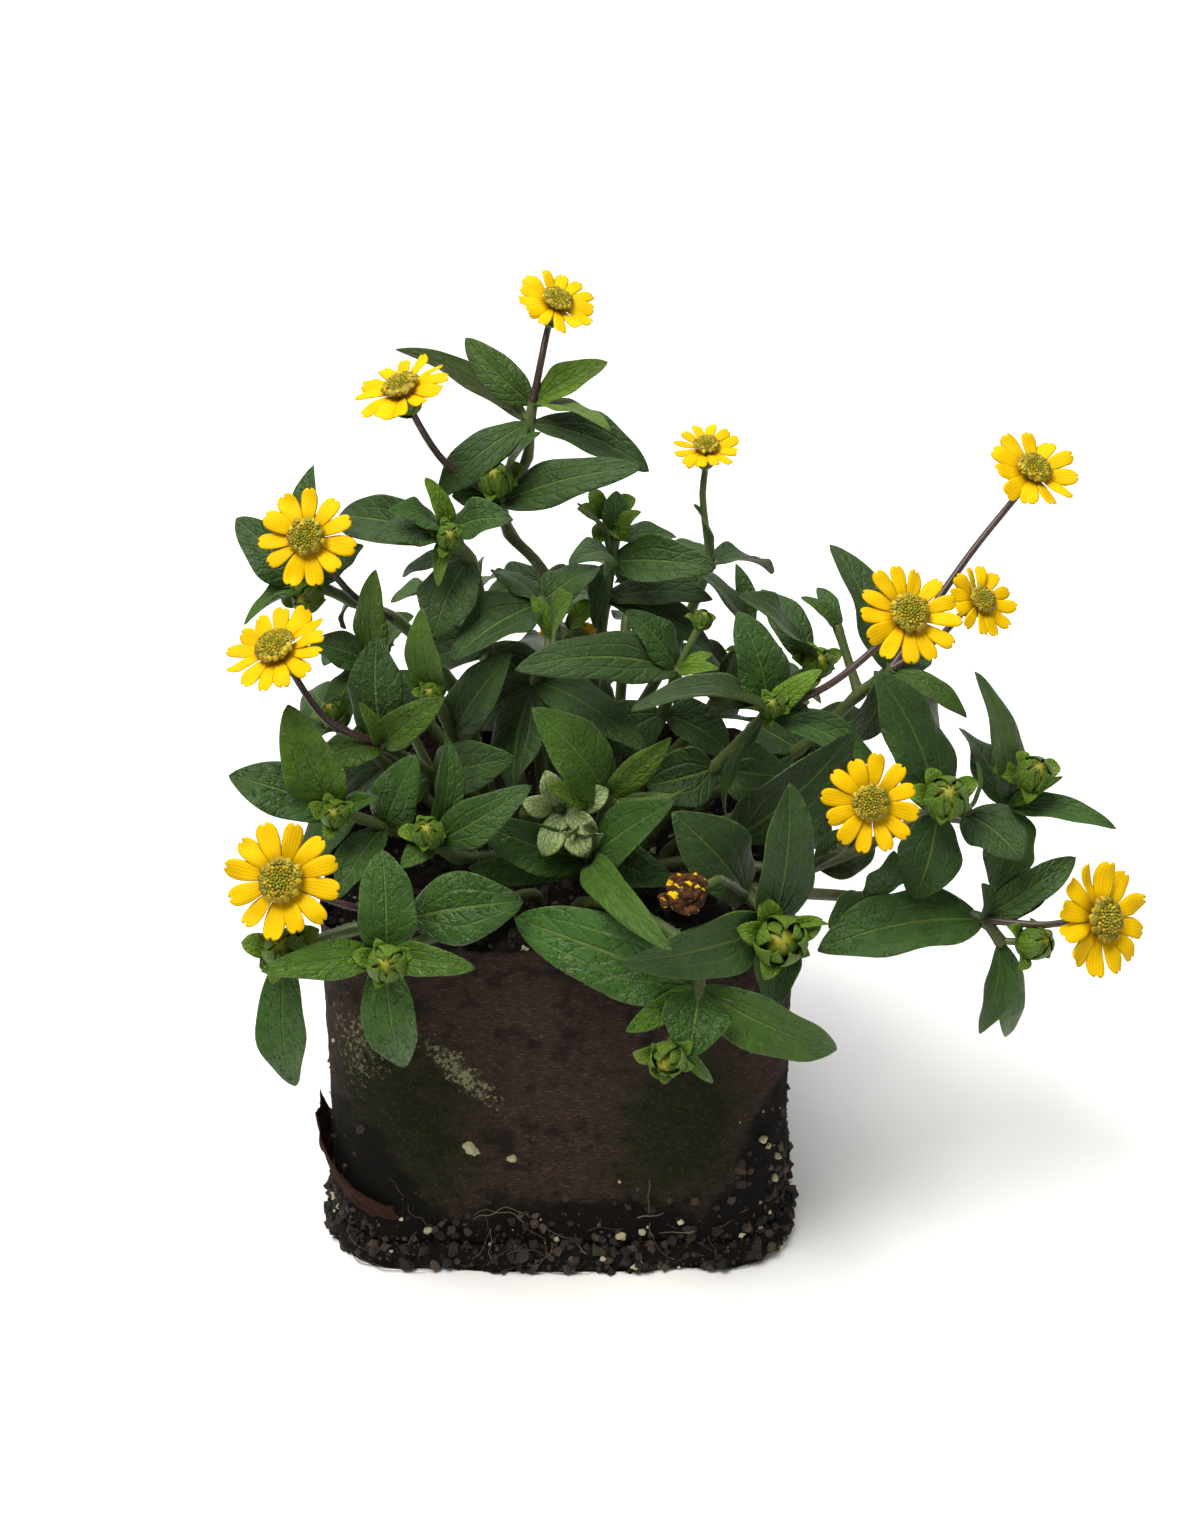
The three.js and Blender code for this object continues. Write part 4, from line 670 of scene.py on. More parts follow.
def buildPlan():
    random = seeded(plant["seed"])
    shoots = []
    for name, spray in sprays.items():
        joints = {key: seen(spot) for key, spot in spray["joints"].items()}
        foot = np.array((spray["foot"][0], spray["foot"][1], plant["soilTop"] + plant["footRise"]))
        shoot = {"name": name, "foot": foot, "joints": joints, "stems": [], "blades": [], "buds": [],
                "heads": [], "dead": None}
        for run in spray["runs"]:
            points = [joints.get(key, foot) for key in run]
            rooted = run[0] == "foot"
            if rooted:
                points.insert(0, np.array((foot[0], foot[1], plant["soilTop"] - plant["rooted"])))
            shoot["stems"].append({"points": points, "radius": plant["stem"] if rooted else plant["twig"],
                    "kind": "stem" if rooted else "twig"})
        for joint, across, up, depth, width, roll, tone in spray["leaves"]:
            shoot["blades"].append({"base": joints[joint], "spot": (across, up, depth), "rear": False,
                    "width": width, "roll": roll, "tone": tone, "phase": 6.28 * random()})
        for joint, across, up, depth, size in spray["buds"]:
            shoot["buds"].append({"from": joints[joint], "at": seen((across, up, depth)),
                    "radius": size / 2})
        shoots.append(shoot)
    byName = {shoot["name"]: shoot for shoot in shoots}
    for spray, joint, via, centre, radius, count, right, up in blooms:
        head = headFrame(seen(centre), right, up)
        byName[spray]["heads"].append({"frame": head, "radius": radius, "count": count})
        points = [byName[spray]["joints"][joint], seen(via), inHead(head, 0, 0, -6),
                inHead(head, 0, 0, -2.6)]
        byName[spray]["stems"].append({"points": points, "radius": plant["stalk"], "kind": "stalk"})
    spray, joint, via, centre, size = withered
    dead = {"at": seen(centre), "radius": size}
    last = longer(seen(via) - dead["at"], size + plant["gap"] + 1.6) + dead["at"]
    byName[spray]["dead"] = dead
    byName[spray]["stems"].append({"points": [byName[spray]["joints"][joint], seen(via), last],
            "radius": plant["stalk"], "kind": "dead"})
    for index, (azimuth, reach, height, footX, footY, flower) in enumerate(rearShoots):
        out = np.array((math.cos(math.radians(azimuth)), math.sin(math.radians(azimuth)), 0))
        across = np.array((-out[1], out[0], 0))
        foot = np.array((footX, footY, plant["soilTop"] + plant["footRise"]))

        def at(r, s, z):
            spot = out * r + across * s
            spot[2] = z
            return spot
        joints = {"a": at(reach * 0.8, 0, height * 0.92), "b": at(reach * 0.9, 1, height * 0.97),
                "c": at(reach, 0, height)}
        shoot = {"name": "rear_%d" % (index + 1), "foot": foot, "joints": joints, "stems": [], "blades": [],
                "buds": [], "heads": [], "dead": None}
        low = np.array((footX, footY, plant["soilTop"] - plant["rooted"]))
        shoot["stems"].append({"points": [low, foot, joints["a"], joints["b"], joints["c"]],
                "radius": plant["stem"], "kind": "stem"})
        for joint, r, s, z, width, tone in (("a", 15, 14, -19, 12, 0.3), ("a", 15, -13, -20, 12, 0.4),
                ("b", 18, 3, -11, 11, 0.3), ("c", 9, -14, 1, 11, 0.45), ("c", 3, 15, 5, 10, 0.35),
                ("c", -8, 1, 13, 8, 0.6)):
            tip = joints[joint] + out * r + across * s
            tip[2] += z + 3 * (random() - 0.5)
            shoot["blades"].append({"base": joints[joint], "spot": tip, "rear": True, "width": width,
                    "roll": 0, "tone": tone, "phase": 6.28 * random()})
        bud = joints["c"] + out * 1.5
        bud[2] = height + 3.5
        shoot["buds"].append({"from": joints["c"], "at": bud, "radius": 2.4})
        shoots.append(shoot)
        if not flower:
            continue
        normal = out * 0.85
        normal[2] = 0.5
        normal = unit(normal)
        head = {"centre": at(reach + 17, -5, height - 14), "x": across, "y": np.cross(normal, across),
                "normal": normal}
        shoot["heads"].append({"frame": head, "radius": 9.2, "count": 12})
        points = [joints["c"], at(reach + 9, -4, height - 7), inHead(head, 0, 0, -6),
                inHead(head, 0, 0, -2.6)]
        shoot["stems"].append({"points": points, "radius": plant["stalk"], "kind": "stalk"})
    return shoots


# Blades are turned and set back a little until they pass everything on the other shoots
sampleT, sampleS = [part.ravel()
        for part in np.meshgrid(np.arange(1, 15) / 14, [-1, -0.67, -0.33, 0, 0.33, 0.67, 1], indexing="ij")]
farT, farS = [part.ravel()
        for part in np.meshgrid(np.arange(1, 13) / 12, [-1, -0.5, 0, 0.5, 1], indexing="ij")]


def bunch(shoot, samples, reach):
    samples = np.array(samples)
    middle = samples.mean(axis=0)
    return {"shoot": shoot, "samples": samples, "reach": reach, "middle": middle,
            "size": np.linalg.norm(samples - middle, axis=1).max()}


def room(mine, theirs):
    spare = (np.linalg.norm(mine["middle"] - theirs["middle"]) - mine["size"] - theirs["size"]
            - theirs["reach"])
    if spare > 0:
        return 1.0
    gaps = mine["samples"][:, None, :] - theirs["samples"][None, :, :]
    return min(1.0, math.sqrt(np.einsum("ijk,ijk->ij", gaps, gaps).min()) - theirs["reach"])


def wallRoom(samples):
    outside = np.abs(samples[:, :2]).max(axis=1) - plant["sleeveHalf"]
    return min(1.0, (np.maximum(outside, samples[:, 2] - plant["sleeveTop"]) - 1.2).min())


def arrange(shoots):
    taken = []
    for shoot in shoots:
        for stem in shoot["stems"]:
            taken.append(bunch(shoot["name"], chainOf(stem["points"], 1.5), stem["radius"] + 1.3))
        for bud in shoot["buds"]:
            taken.append(bunch(shoot["name"], [bud["at"]], bud["radius"] + 1.2))
        if shoot["dead"]:
            taken.append(bunch("withered head", [shoot["dead"]["at"]], shoot["dead"]["radius"] + 1.4))
        for head in shoot["heads"]:
            rings = [inHead(head["frame"], head["radius"] * ring / 4 * math.cos(i * math.pi / 8),
                    head["radius"] * ring / 4 * math.sin(i * math.pi / 8), 0) for ring in range(5)
                    for i in range(16)]
            taken.append(bunch(shoot["name"] + " head", rings, 2.6))
    tries = [(size, shift, turn, 0) for size in (1, 0.85) for shift in (0, 4, -4, 8, -8, 12, -12, 17, -17)
            for turn in (0, 26, -26)]
    rearTries = [(size, shift, turn, swing) for size in (1, 0.8) for swing in (0, 24, -24, 48, -48, 75, -75)
            for shift in (0, 5, -5, 10, -10) for turn in (0, 26)]
    upward = np.array((0.0, 0.0, 1.0))
    for shoot in shoots:
        own = []
        others = [theirs for theirs in taken if theirs["shoot"] != shoot["name"]]
        for leaf in shoot["blades"]:
            best = -1e9
            for size, shift, turn, swing in (rearTries if leaf["rear"] else tries):
                if leaf["rear"]:
                    tip = leaf["spot"] + upward * shift
                else:
                    tip = seen((leaf["spot"][0], leaf["spot"][1], leaf["spot"][2] + shift))
                tip = turnAbout((tip - leaf["base"]) * size, upward, swing) + leaf["base"]
                blade = makeBlade(leaf["base"], tip, leaf["width"] * size,
                        leaf["roll"] + turn, leaf["phase"])
                mine = bunch(shoot["name"], bladePoints(blade, sampleT, sampleS), 0)
                far = bladePoints(blade, farT, farS)[farT * blade["length"] >= 6]
                least = wallRoom(mine["samples"])
                for theirs in own:
                    least = min(least, 0.4 * (room(bunch("", far, 0), theirs) if len(far) else 1.0))
                for theirs in others:
                    if least <= best:
                        break
                    least = min(least, room(mine, theirs))
                if least > best:
                    best = least
                    leaf["blade"] = blade
                if best > 0:
                    break
            taken.append(bunch(shoot["name"], bladePoints(leaf["blade"], sampleT, sampleS), plant["clear"]))
            far = bladePoints(leaf["blade"], farT, farS)[farT * leaf["blade"]["length"] >= 6]
            if len(far):
                own.append(bunch(shoot["name"], far, 1.4))


shoots = buildPlan()
arrange(shoots)
print("plan ready:", sum(len(shoot["blades"]) for shoot in shoots), "leaves")

# meshes


def even(points, value):
    return np.full(len(points), value)


def meshFrom(name, points, faces, attributes=None, spots=None, edges=None):
    mesh = bpy.data.meshes.new(name)
    mesh.from_pydata(np.asarray(points).tolist(), edges or [], [list(face) for face in faces])
    for label, values in (attributes or {}).items():
        values = np.asarray(values, np.float32)
        sort = "FLOAT_VECTOR" if values.ndim == 2 else "FLOAT"
        layer = mesh.attributes.new(label, sort, "POINT")
        layer.data.foreach_set("vector" if values.ndim == 2 else "value", values.ravel())
    if spots is not None and len(mesh.loops):
        corner = np.zeros(len(mesh.loops), np.int32)
        mesh.loops.foreach_get("vertex_index", corner)
        uv = mesh.uv_layers.new(name="UVMap")
        flat = np.stack([spots[:, 0] * 0.5 + 0.5, spots[:, 1]], 1)[corner]
        uv.data.foreach_set("uv", flat.astype(np.float32).ravel())
    if len(mesh.polygons):
        mesh.polygons.foreach_set("use_smooth", [True] * len(mesh.polygons))
    mesh.update()
    return mesh


# A thin closed sheet: a grid of middle places and how far each face stands off it, nothing at the rim
def closedSheet(middle, above, below, s, t, extra):
    rows, cols = s.shape
    inner = np.zeros((rows, cols), bool)
    inner[1:-1, 1:-1] = True
    number = np.arange(rows * cols).reshape(rows, cols)
    under = number.copy()
    under[inner] = rows * cols + np.arange(inner.sum())

    def quads(n):
        return np.stack([n[:-1, :-1], n[:-1, 1:], n[1:, 1:], n[1:, :-1]], -1).reshape(-1, 4)
    points = np.concatenate([(middle + above).reshape(-1, 3), (middle - below)[inner]])
    faces = np.concatenate([quads(number), quads(under)[:, ::-1]])
    side = np.concatenate([np.where(inner, 0.0, 0.3).ravel(), np.ones(inner.sum())])
    spot = np.stack([s, t, np.full(s.shape, extra)], -1)
    spot = np.concatenate([spot.reshape(-1, 3), spot[inner]])
    return points, faces, spot, side


# Gathers sheets into one mesh
def newHeap():
    return {"points": [], "faces": [], "spots": [], "count": 0, "values": {}}


def heapUp(heap, points, faces, spot, **values):
    heap["points"].append(points)
    heap["faces"].append(faces + heap["count"])
    heap["spots"].append(spot)
    for label, value in values.items():
        heap["values"].setdefault(label, []).append(np.broadcast_to(value, len(points)))
    heap["count"] += len(points)


def heapMesh(name, heap):
    spots = np.concatenate(heap["spots"])
    values = {label: np.concatenate(parts) for label, parts in heap["values"].items()}
    values["leafSpot"] = spots
    return meshFrom(name, np.concatenate(heap["points"]), np.concatenate(heap["faces"]), values, spots)


def sheetGrid(rows, cols):
    line = np.linspace(0, 1, rows + 1)
    t = 0.65 * line + 0.35 * (0.5 - 0.5 * np.cos(math.pi * line))
    return np.meshgrid(t, np.sin(np.linspace(-1, 1, cols + 1) * 1.35) / math.sin(1.35), indexing="ij")


def addPiece(name, mesh, material, nodes):
    mesh.transform(Matrix.Scale(millimetre, 4))
    if material is not None:
        mesh.materials.clear()
        mesh.materials.append(material)
    piece = bpy.data.objects.new(name, mesh)
    bpy.context.scene.collection.objects.link(piece)
    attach(piece, "root")
    if nodes:
        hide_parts(*nodes)
    return piece


# Runs a geometry tree on a mesh and gives the plain mesh that it makes
def grow(name, tree, base, values):
    carrier = bpy.data.objects.new(name, base)
    bpy.context.scene.collection.objects.link(carrier)
    modifier = carrier.modifiers.new("grow", "NODES")
    modifier.node_group = tree
    for item in tree.interface.items_tree:
        if item.item_type == "SOCKET" and item.in_out == "INPUT" and item.name in values:
            modifier[item.identifier] = values[item.name]
    graph = bpy.context.evaluated_depsgraph_get()
    mesh = bpy.data.meshes.new_from_object(carrier.evaluated_get(graph), preserve_all_data_layers=True,
            depsgraph=graph)
    mesh.name = name
    carrier.modifiers.clear()
    bpy.data.objects.remove(carrier)
    return mesh


def helper(name, mesh):
    thing = bpy.data.objects.new(name, mesh)
    bpy.context.scene.collection.objects.link(thing)
    return thing


def joined(name, meshes):
    things = [helper(name, mesh) for mesh in meshes]
    if len(things) > 1:
        with bpy.context.temp_override(active_object=things[0], selected_editable_objects=things,
                object=things[0], selected_objects=things):
            bpy.ops.object.join()
    mesh = things[0].data
    bpy.data.objects.remove(things[0])
    return mesh


geometrySorts = {"Geometry": "NodeSocketGeometry", "Finish": "NodeSocketMaterial",
        "Piece": "NodeSocketObject", "Count": "NodeSocketInt", "Seed": "NodeSocketInt",
        "Sides": "NodeSocketInt"}


def newTree(name, inputs):
    sorts = {label: geometrySorts.get(label, "NodeSocketFloat") for label in ["Geometry", *inputs]}
    return newGroup(name, sorts, {"Geometry": None, **inputs}, ["Geometry"], "GeometryNodeTree")


def finished(tree, geometry, given, result):
    done = addNode(tree, "GeometryNodeSetMaterial",
            {"Geometry": geometry, "Material": given["Finish"]}).outputs[0]
    feed(tree, done, result["Geometry"])


def named(tree, label):
    return addNode(tree, "GeometryNodeInputNamedAttribute", {"Name": label}, data_type="FLOAT").outputs[0]


def store(tree, geometry, label, value):
    return addNode(tree, "GeometryNodeStoreNamedAttribute", {"Geometry": geometry, "Name": label,
            "Value": value}, data_type="FLOAT", domain="POINT").outputs[0]


def chanceOf(tree, low, high, seed):
    made = addNode(tree, "FunctionNodeRandomValue", None, data_type="FLOAT")
    feed(tree, low, made.inputs[2])
    feed(tree, high, made.inputs[3])
    feed(tree, seed, made.inputs["Seed"])
    return made.outputs[1]


def vectorOf(tree, x, y, z):
    return addNode(tree, "ShaderNodeCombineXYZ", {0: x, 1: y, 2: z}).outputs[0]


def mixed(tree, share, low, high):
    return plus(tree, low, times(tree, share, less(tree, high, low)))


# A round stem along the edges of a mesh, as thick as its girth says
def makeStemTree():
    tree, given, result = newTree("stemTube", {"Sides": 8, "Finish": None})
    curve = addNode(tree, "GeometryNodeMeshToCurve", {"Mesh": given["Geometry"]}).outputs[0]
    ring = addNode(tree, "GeometryNodeCurvePrimitiveCircle",
            {"Resolution": given["Sides"], "Radius": 1.0}).outputs["Curve"]
    tube = addNode(tree, "GeometryNodeCurveToMesh", {"Curve": curve, "Profile Curve": ring,
            "Scale": named(tree, "girth"), "Fill Caps": True}).outputs[0]
    soft = addNode(tree, "GeometryNodeSetShadeSmooth", {"Geometry": tube}).outputs[0]
    finished(tree, soft, given, result)
    return tree


# Short hairs that stand out of a surface
def makeHairTree():
    tree, given, result = newTree("hairs",
            {"Density": 1.2, "Long": 0.7, "Thick": 0.035, "Seed": 1, "Finish": None})
    strewn = addNode(tree, "GeometryNodeDistributePointsOnFaces",
            {"Mesh": given["Geometry"], "Density": given["Density"], "Seed": given["Seed"]})
    cone = addNode(tree, "GeometryNodeMeshCone", {"Vertices": 3, "Side Segments": 1, "Radius Top": 0.0,
            "Radius Bottom": given["Thick"], "Depth": given["Long"]}, fill_type="TRIANGLE_FAN").outputs[0]
    lean = addNode(tree, "FunctionNodeRandomValue", None, data_type="FLOAT_VECTOR")
    lean.inputs[0].default_value = (-0.6, -0.6, -3.1)
    lean.inputs[1].default_value = (0.6, 0.6, 3.1)
    feed(tree, given["Seed"], lean.inputs["Seed"])
    tilt = addNode(tree, "FunctionNodeEulerToRotation", {0: lean.outputs[0]}).outputs[0]
    way = addNode(tree, "FunctionNodeRotateRotation", {0: strewn.outputs["Rotation"], 1: tilt},
            rotation_space="LOCAL").outputs[0]
    size = chanceOf(tree, 0.5, 1.2, plus(tree, given["Seed"], 2))
    hairs = addNode(tree, "GeometryNodeInstanceOnPoints", {"Points": strewn.outputs["Points"],
            "Instance": cone, "Rotation": way, "Scale": vectorOf(tree, 1.0, 1.0, size)}).outputs[0]
    real = addNode(tree, "GeometryNodeRealizeInstances", {"Geometry": hairs}).outputs[0]
    finished(tree, real, given, result)
    return tree


# Rays set round a flower head: one point for each, with its turn, reach, width and lift
def makeRayTree():
    tree, given, result = newTree("rayRing",
            {"Piece": None, "Root": 2.0, "Ripple": 0.3, "Seed": 1, "Finish": None})
    turn, reach, width, lift = (named(tree, label) for label in ("turn", "reach", "width", "lift"))
    spot = vectorOf(tree, times(tree, calc(tree, "COSINE", turn), given["Root"]),
            times(tree, calc(tree, "SINE", turn), given["Root"]), 0.0)
    points = addNode(tree, "GeometryNodeSetPosition",
            {"Geometry": given["Geometry"], "Position": spot}).outputs[0]
    points = store(tree, points, "chance", chanceOf(tree, 0.0, 1.0, given["Seed"]))
    length = less(tree, reach, given["Root"])
    pitch = calc(tree, "ARCTANGENT", calc(tree, "DIVIDE", lift, length))
    roll = chanceOf(tree, -0.38, 0.38, plus(tree, given["Seed"], 5))
    way = addNode(tree, "FunctionNodeEulerToRotation",
            {0: vectorOf(tree, pitch, roll, less(tree, turn, math.pi / 2))}).outputs[0]
    shape = addNode(tree, "GeometryNodeObjectInfo", {"Object": given["Piece"]}).outputs["Geometry"]
    petals = addNode(tree, "GeometryNodeInstanceOnPoints", {"Points": points, "Instance": shape,
            "Rotation": way, "Scale": vectorOf(tree, width, length, 1.0)}).outputs[0]
    real = addNode(tree, "GeometryNodeRealizeInstances", {"Geometry": petals}).outputs[0]
    where = addNode(tree, "GeometryNodeInputPosition").outputs[0]
    part = addNode(tree, "ShaderNodeSeparateXYZ", {0: where}).outputs
    far = calc(tree, "SQRT", plus(tree, times(tree, part[0], part[0]), times(tree, part[1], part[1])))
    noise = addNode(tree, "ShaderNodeTexNoise", {"Vector": where, "W": times(tree, named(tree, "chance"),
            9.0), "Scale": 0.22, "Detail": 0.0}, noise_dimensions="4D").outputs[0]
    rise = times(tree, times(tree, less(tree, noise, 0.5), given["Ripple"]),
            calc(tree, "MAXIMUM", less(tree, far, given["Root"]), 0.0))
    waved = addNode(tree, "GeometryNodeSetPosition",
            {"Geometry": real, "Offset": vectorOf(tree, 0.0, 0.0, rise)}).outputs[0]
    finished(tree, waved, given, result)
    return tree


goldenAngle = 2.39996


# Pieces packed in a spiral over a dome, as the florets of a head and the bracts of a bud are
def makeSpiralTree():
    tree, given, result = newTree("spiral", {"Piece": None, "Count": 60, "Hollow": 0.0, "Reach": 3.0,
            "High": 2.0, "Low": 0.5, "Upright": 0.0, "Lean": 0.8, "Small": 0.5, "Large": 1.0, "Unrest": 0.1,
            "Seed": 1, "Finish": None})
    points = addNode(tree, "GeometryNodePoints", {"Count": given["Count"]}).outputs[0]
    index = addNode(tree, "GeometryNodeInputIndex").outputs[0]
    share = calc(tree, "DIVIDE", plus(tree, index, 0.5), given["Count"])
    turn = times(tree, index, goldenAngle)
    far = mixed(tree, calc(tree, "SQRT", share), given["Hollow"], given["Reach"])
    spot = vectorOf(tree, times(tree, calc(tree, "COSINE", turn), far),
            times(tree, calc(tree, "SINE", turn), far), mixed(tree, share, given["High"], given["Low"]))
    points = addNode(tree, "GeometryNodeSetPosition", {"Geometry": points, "Position": spot}).outputs[0]
    points = store(tree, points, "ring", share)
    points = store(tree, points, "chance", chanceOf(tree, 0.0, 1.0, given["Seed"]))
    jitter = chanceOf(tree, times(tree, given["Unrest"], -1.0), given["Unrest"],
            plus(tree, given["Seed"], 3))
    tilt = plus(tree, mixed(tree, share, given["Upright"], given["Lean"]), jitter)
    way = addNode(tree, "FunctionNodeEulerToRotation",
            {0: vectorOf(tree, times(tree, tilt, -1.0), 0.0, less(tree, turn, math.pi / 2))}).outputs[0]
    size = times(tree, mixed(tree, share, given["Small"], given["Large"]), plus(tree, 1.0, jitter))
    shape = addNode(tree, "GeometryNodeObjectInfo", {"Object": given["Piece"]}).outputs["Geometry"]
    pieces = addNode(tree, "GeometryNodeInstanceOnPoints", {"Points": points, "Instance": shape,
            "Rotation": way, "Scale": vectorOf(tree, size, size, size)}).outputs[0]
    real = addNode(tree, "GeometryNodeRealizeInstances", {"Geometry": pieces}).outputs[0]
    finished(tree, real, given, result)
    return tree


stemTube = makeStemTree()
rayRing = makeRayTree()
spiral = makeSpiralTree()
hairs = makeHairTree()

# leaves
leaf = {"rows": 20, "columns": 12, "thick": 0.3, "keel": 0.32, "twist": 0.55, "wave": 0.09, "droop": 0.055,
        "curl": 0.5, "seed": 31}


def leafSheet(blade, chance):
    turnDraw, curlDraw = (chance * 7.3) % 1, (chance * 13.7) % 1
    t, s = sheetGrid(leaf["rows"], leaf["columns"])
    half = np.maximum(halfWidth(blade, t), np.where(t < 0.3, 0.5, 0.08))
    ripple = edgeRipple(blade, half, t, s)
    ripple += leaf["wave"] * half * np.abs(s) ** 3 * np.sin(15 * t + 3 * blade["phase"]
            + np.where(s > 0, 2.4, 0))
    fold = np.sqrt(s * s + 0.012) - math.sqrt(0.012)
    lift = plant["arch"] * blade["length"] * 4 * t * (1 - t) + fold * half * plant["fold"] + ripple
    lift -= leaf["droop"] * (0.3 + 1.4 * turnDraw) * blade["length"] * t ** 4
    lift += leaf["curl"] * (curlDraw - 0.55) * half * np.abs(s) ** 3 * np.sin(math.pi * t)
    lift += 0.35 * (turnDraw - 0.5) * half * s * np.sin(5 * t + blade["phase"])
    lift -= 0.16 * np.exp(-(s * half / 0.35) ** 2) * (1 - 0.6 * t)
    twist = (chance - 0.5) * leaf["twist"] * t * 2
    over = s * half
    face, side = blade["face"], blade["side"]
    middle = (blade["base"] + (t * blade["length"])[..., None] * blade["along"]
            + (lift + over * np.sin(twist))[..., None] * face + (over * np.cos(twist))[..., None] * side)
    profile = np.sqrt(np.clip(1 - s ** 4, 0, 1)) * leaf["thick"] / 2
    keel = leaf["keel"] * np.exp(-(over / 0.4) ** 2) * (1 - 0.85 * t)
    return closedSheet(middle, profile[..., None] * face, (profile + keel)[..., None] * face, s, t, chance)


# how wet the leaves of a shoot are; the others have 0.25
wetShoots = {"left_foot": 1.0, "front_left": 1.0, "front": 1.0, "left_low": 0.8, "inner_front": 0.5,
        "right_rim": 0.4, "left_middle": 0.5, "far_right": 0.5, "left_top": 0.6}
random = seeded(leaf["seed"])
for shoot in shoots:
    heap = newHeap()
    for blade in shoot["blades"]:
        chance = random()
        points, faces, spot, under = leafSheet(blade["blade"], chance)
        wet = wetShoots.get(shoot["name"], 0.25) * (0.5 + 0.5 * random())
        heapUp(heap, points, faces, spot, under=under, tone=blade["tone"], wet=wet)
    addPiece("leaves_" + shoot["name"], heapMesh("leaves", heap), leafGreen,
            ["shoot_" + shoot["name"]])
print("leaves ready")

# buds, bracts and flower heads
bract = {"rows": 8, "columns": 6, "bud": 9, "cup": 8, "leaflets": 5}
floret = {"inner": 60, "outer": 54}
ray = {"rows": 12, "columns": 8, "thick": 0.24, "channel": 0.07, "ripple": 0.55, "seed": 977}
hair = {"density": 0.8, "long": 0.7, "thick": 0.035}


# One bract that follows an egg of radius 1 from below to near its top
def bractMesh(name, reachUp, broad):
    t, s = sheetGrid(bract["rows"], bract["columns"])
    up = -1.35 + t * reachUp
    wide = broad * np.sin(math.pi * np.clip(0.12 + 0.88 * t, 0, 0.995)) ** 0.7
    turn = s * wide + math.pi / 2
    belly = np.cos(up) * (1 + 0.05 * s * s)
    out = np.stack([np.cos(turn) * belly, np.sin(turn) * belly, 1.2 * np.sin(up)], -1)
    profile = (0.05 * np.sqrt(np.clip(1 - s ** 4, 0, 1)))[..., None]
    points, faces, spot, under = closedSheet(out, out * profile, out * profile, s, t, 0.5)
    count = len(points)
    return meshFrom(name, points, faces, {"leafSpot": spot, "under": under * 0.4,
            "tone": np.full(count, 0.88), "wet": np.full(count, 0.2)}, spot)


# One floret: a little tube that opens in five lobes
def floretMesh(name, opened):
    rings = [(0.0, 0.16), (0.45, 0.17), (0.75, 0.24 if opened else 0.22), (1.0, 0.36 if opened else 0.1)]
    points, faces, tips = [], [], []
    for z, r in rings:
        for k in range(10):
            a = 2 * math.pi * k / 10
            flare = r * (1.25 if k % 2 == 0 and z > 0.9 and opened else 1.0)
            points.append((flare * math.cos(a), flare * math.sin(a),
                    z - (0.12 if k % 2 == 0 and z > 0.9 and opened else 0.0)))
            tips.append(z)
    for i in range(len(rings) - 1):
        for k in range(10):
            a, b = 10 * i + k, 10 * i + (k + 1) % 10
            faces.append((a, b, b + 10, a + 10))
    points += [(0, 0, 0), (0, 0, 1.08 if not opened else 0.8)]
    tips += [0, 1]
    base, top = len(points) - 2, len(points) - 1
    for k in range(10):
        faces.append((base, (k + 1) % 10, k))
        faces.append((top, 10 * (len(rings) - 1) + k, 10 * (len(rings) - 1) + (k + 1) % 10))
    return meshFrom(name, np.array(points), faces, {"tip": np.array(tips)})


# One ray, 1 wide and 1 long: channelled, blunt and notched at its end
def rayMesh(name):
    t, s = sheetGrid(ray["rows"], ray["columns"])
    half = 0.5 * (0.3 + 0.7 * np.sin(math.pi * 0.5 * np.clip(t / 0.7, 0, 1)) ** 1.1)
    half *= np.where(t > 0.72, np.sqrt(np.clip(1 - ((t - 0.72) / 0.36) ** 2, 0.0, 1)), 1.0)
    tip = 1 - 0.055 * s * s - 0.075 * np.exp(-(s / 0.2) ** 2)
    length = t * (1 - t ** 6 * (1 - tip))
    grooves = ray["channel"] * np.cos(3 * math.pi * s) * np.sin(math.pi * np.clip(t, 0, 1))
    rise = grooves - 0.12 * np.abs(s) ** 2 * t + 0.35 * np.sin(math.pi * t) * 0.6
    middle = np.stack([s * half, length, rise], -1)
    profile = np.zeros(middle.shape)
    profile[..., 2] = np.sqrt(np.clip(1 - s ** 4, 0, 1)) * ray["thick"] / 2
    points, faces, spot, under = closedSheet(middle, profile, profile, -s, t, 0.5)
    return meshFrom(name, points, [face[::-1] for face in faces], {"leafSpot": spot, "under": under}, spot)


def headMatrix(head, z=0.0):
    x, y, n, c = head["x"], head["y"], head["normal"], inHead(head, 0, 0, z)
    return Matrix(((x[0], y[0], n[0], c[0]), (x[1], y[1], n[1], c[1]),
            (x[2], y[2], n[2], c[2]), (0, 0, 0, 1)))


def upMatrix(at, way):
    z = unit(way)
    x = unit(np.cross((0.3, 1.0, 0.2), z))
    return headMatrix({"x": x, "y": np.cross(z, x), "normal": z, "centre": at})


bractPiece = helper("bract", bractMesh("bract", 2.75, 0.75))
cupPiece = helper("cupBract", bractMesh("cupBract", 1.75, 0.62))
openFloret = helper("openFloret", floretMesh("openFloret", True))
shutFloret = helper("shutFloret", floretMesh("shutFloret", False))
rayPiece = helper("ray", rayMesh("ray"))
emptyMesh = bpy.data.meshes.new("nothing")


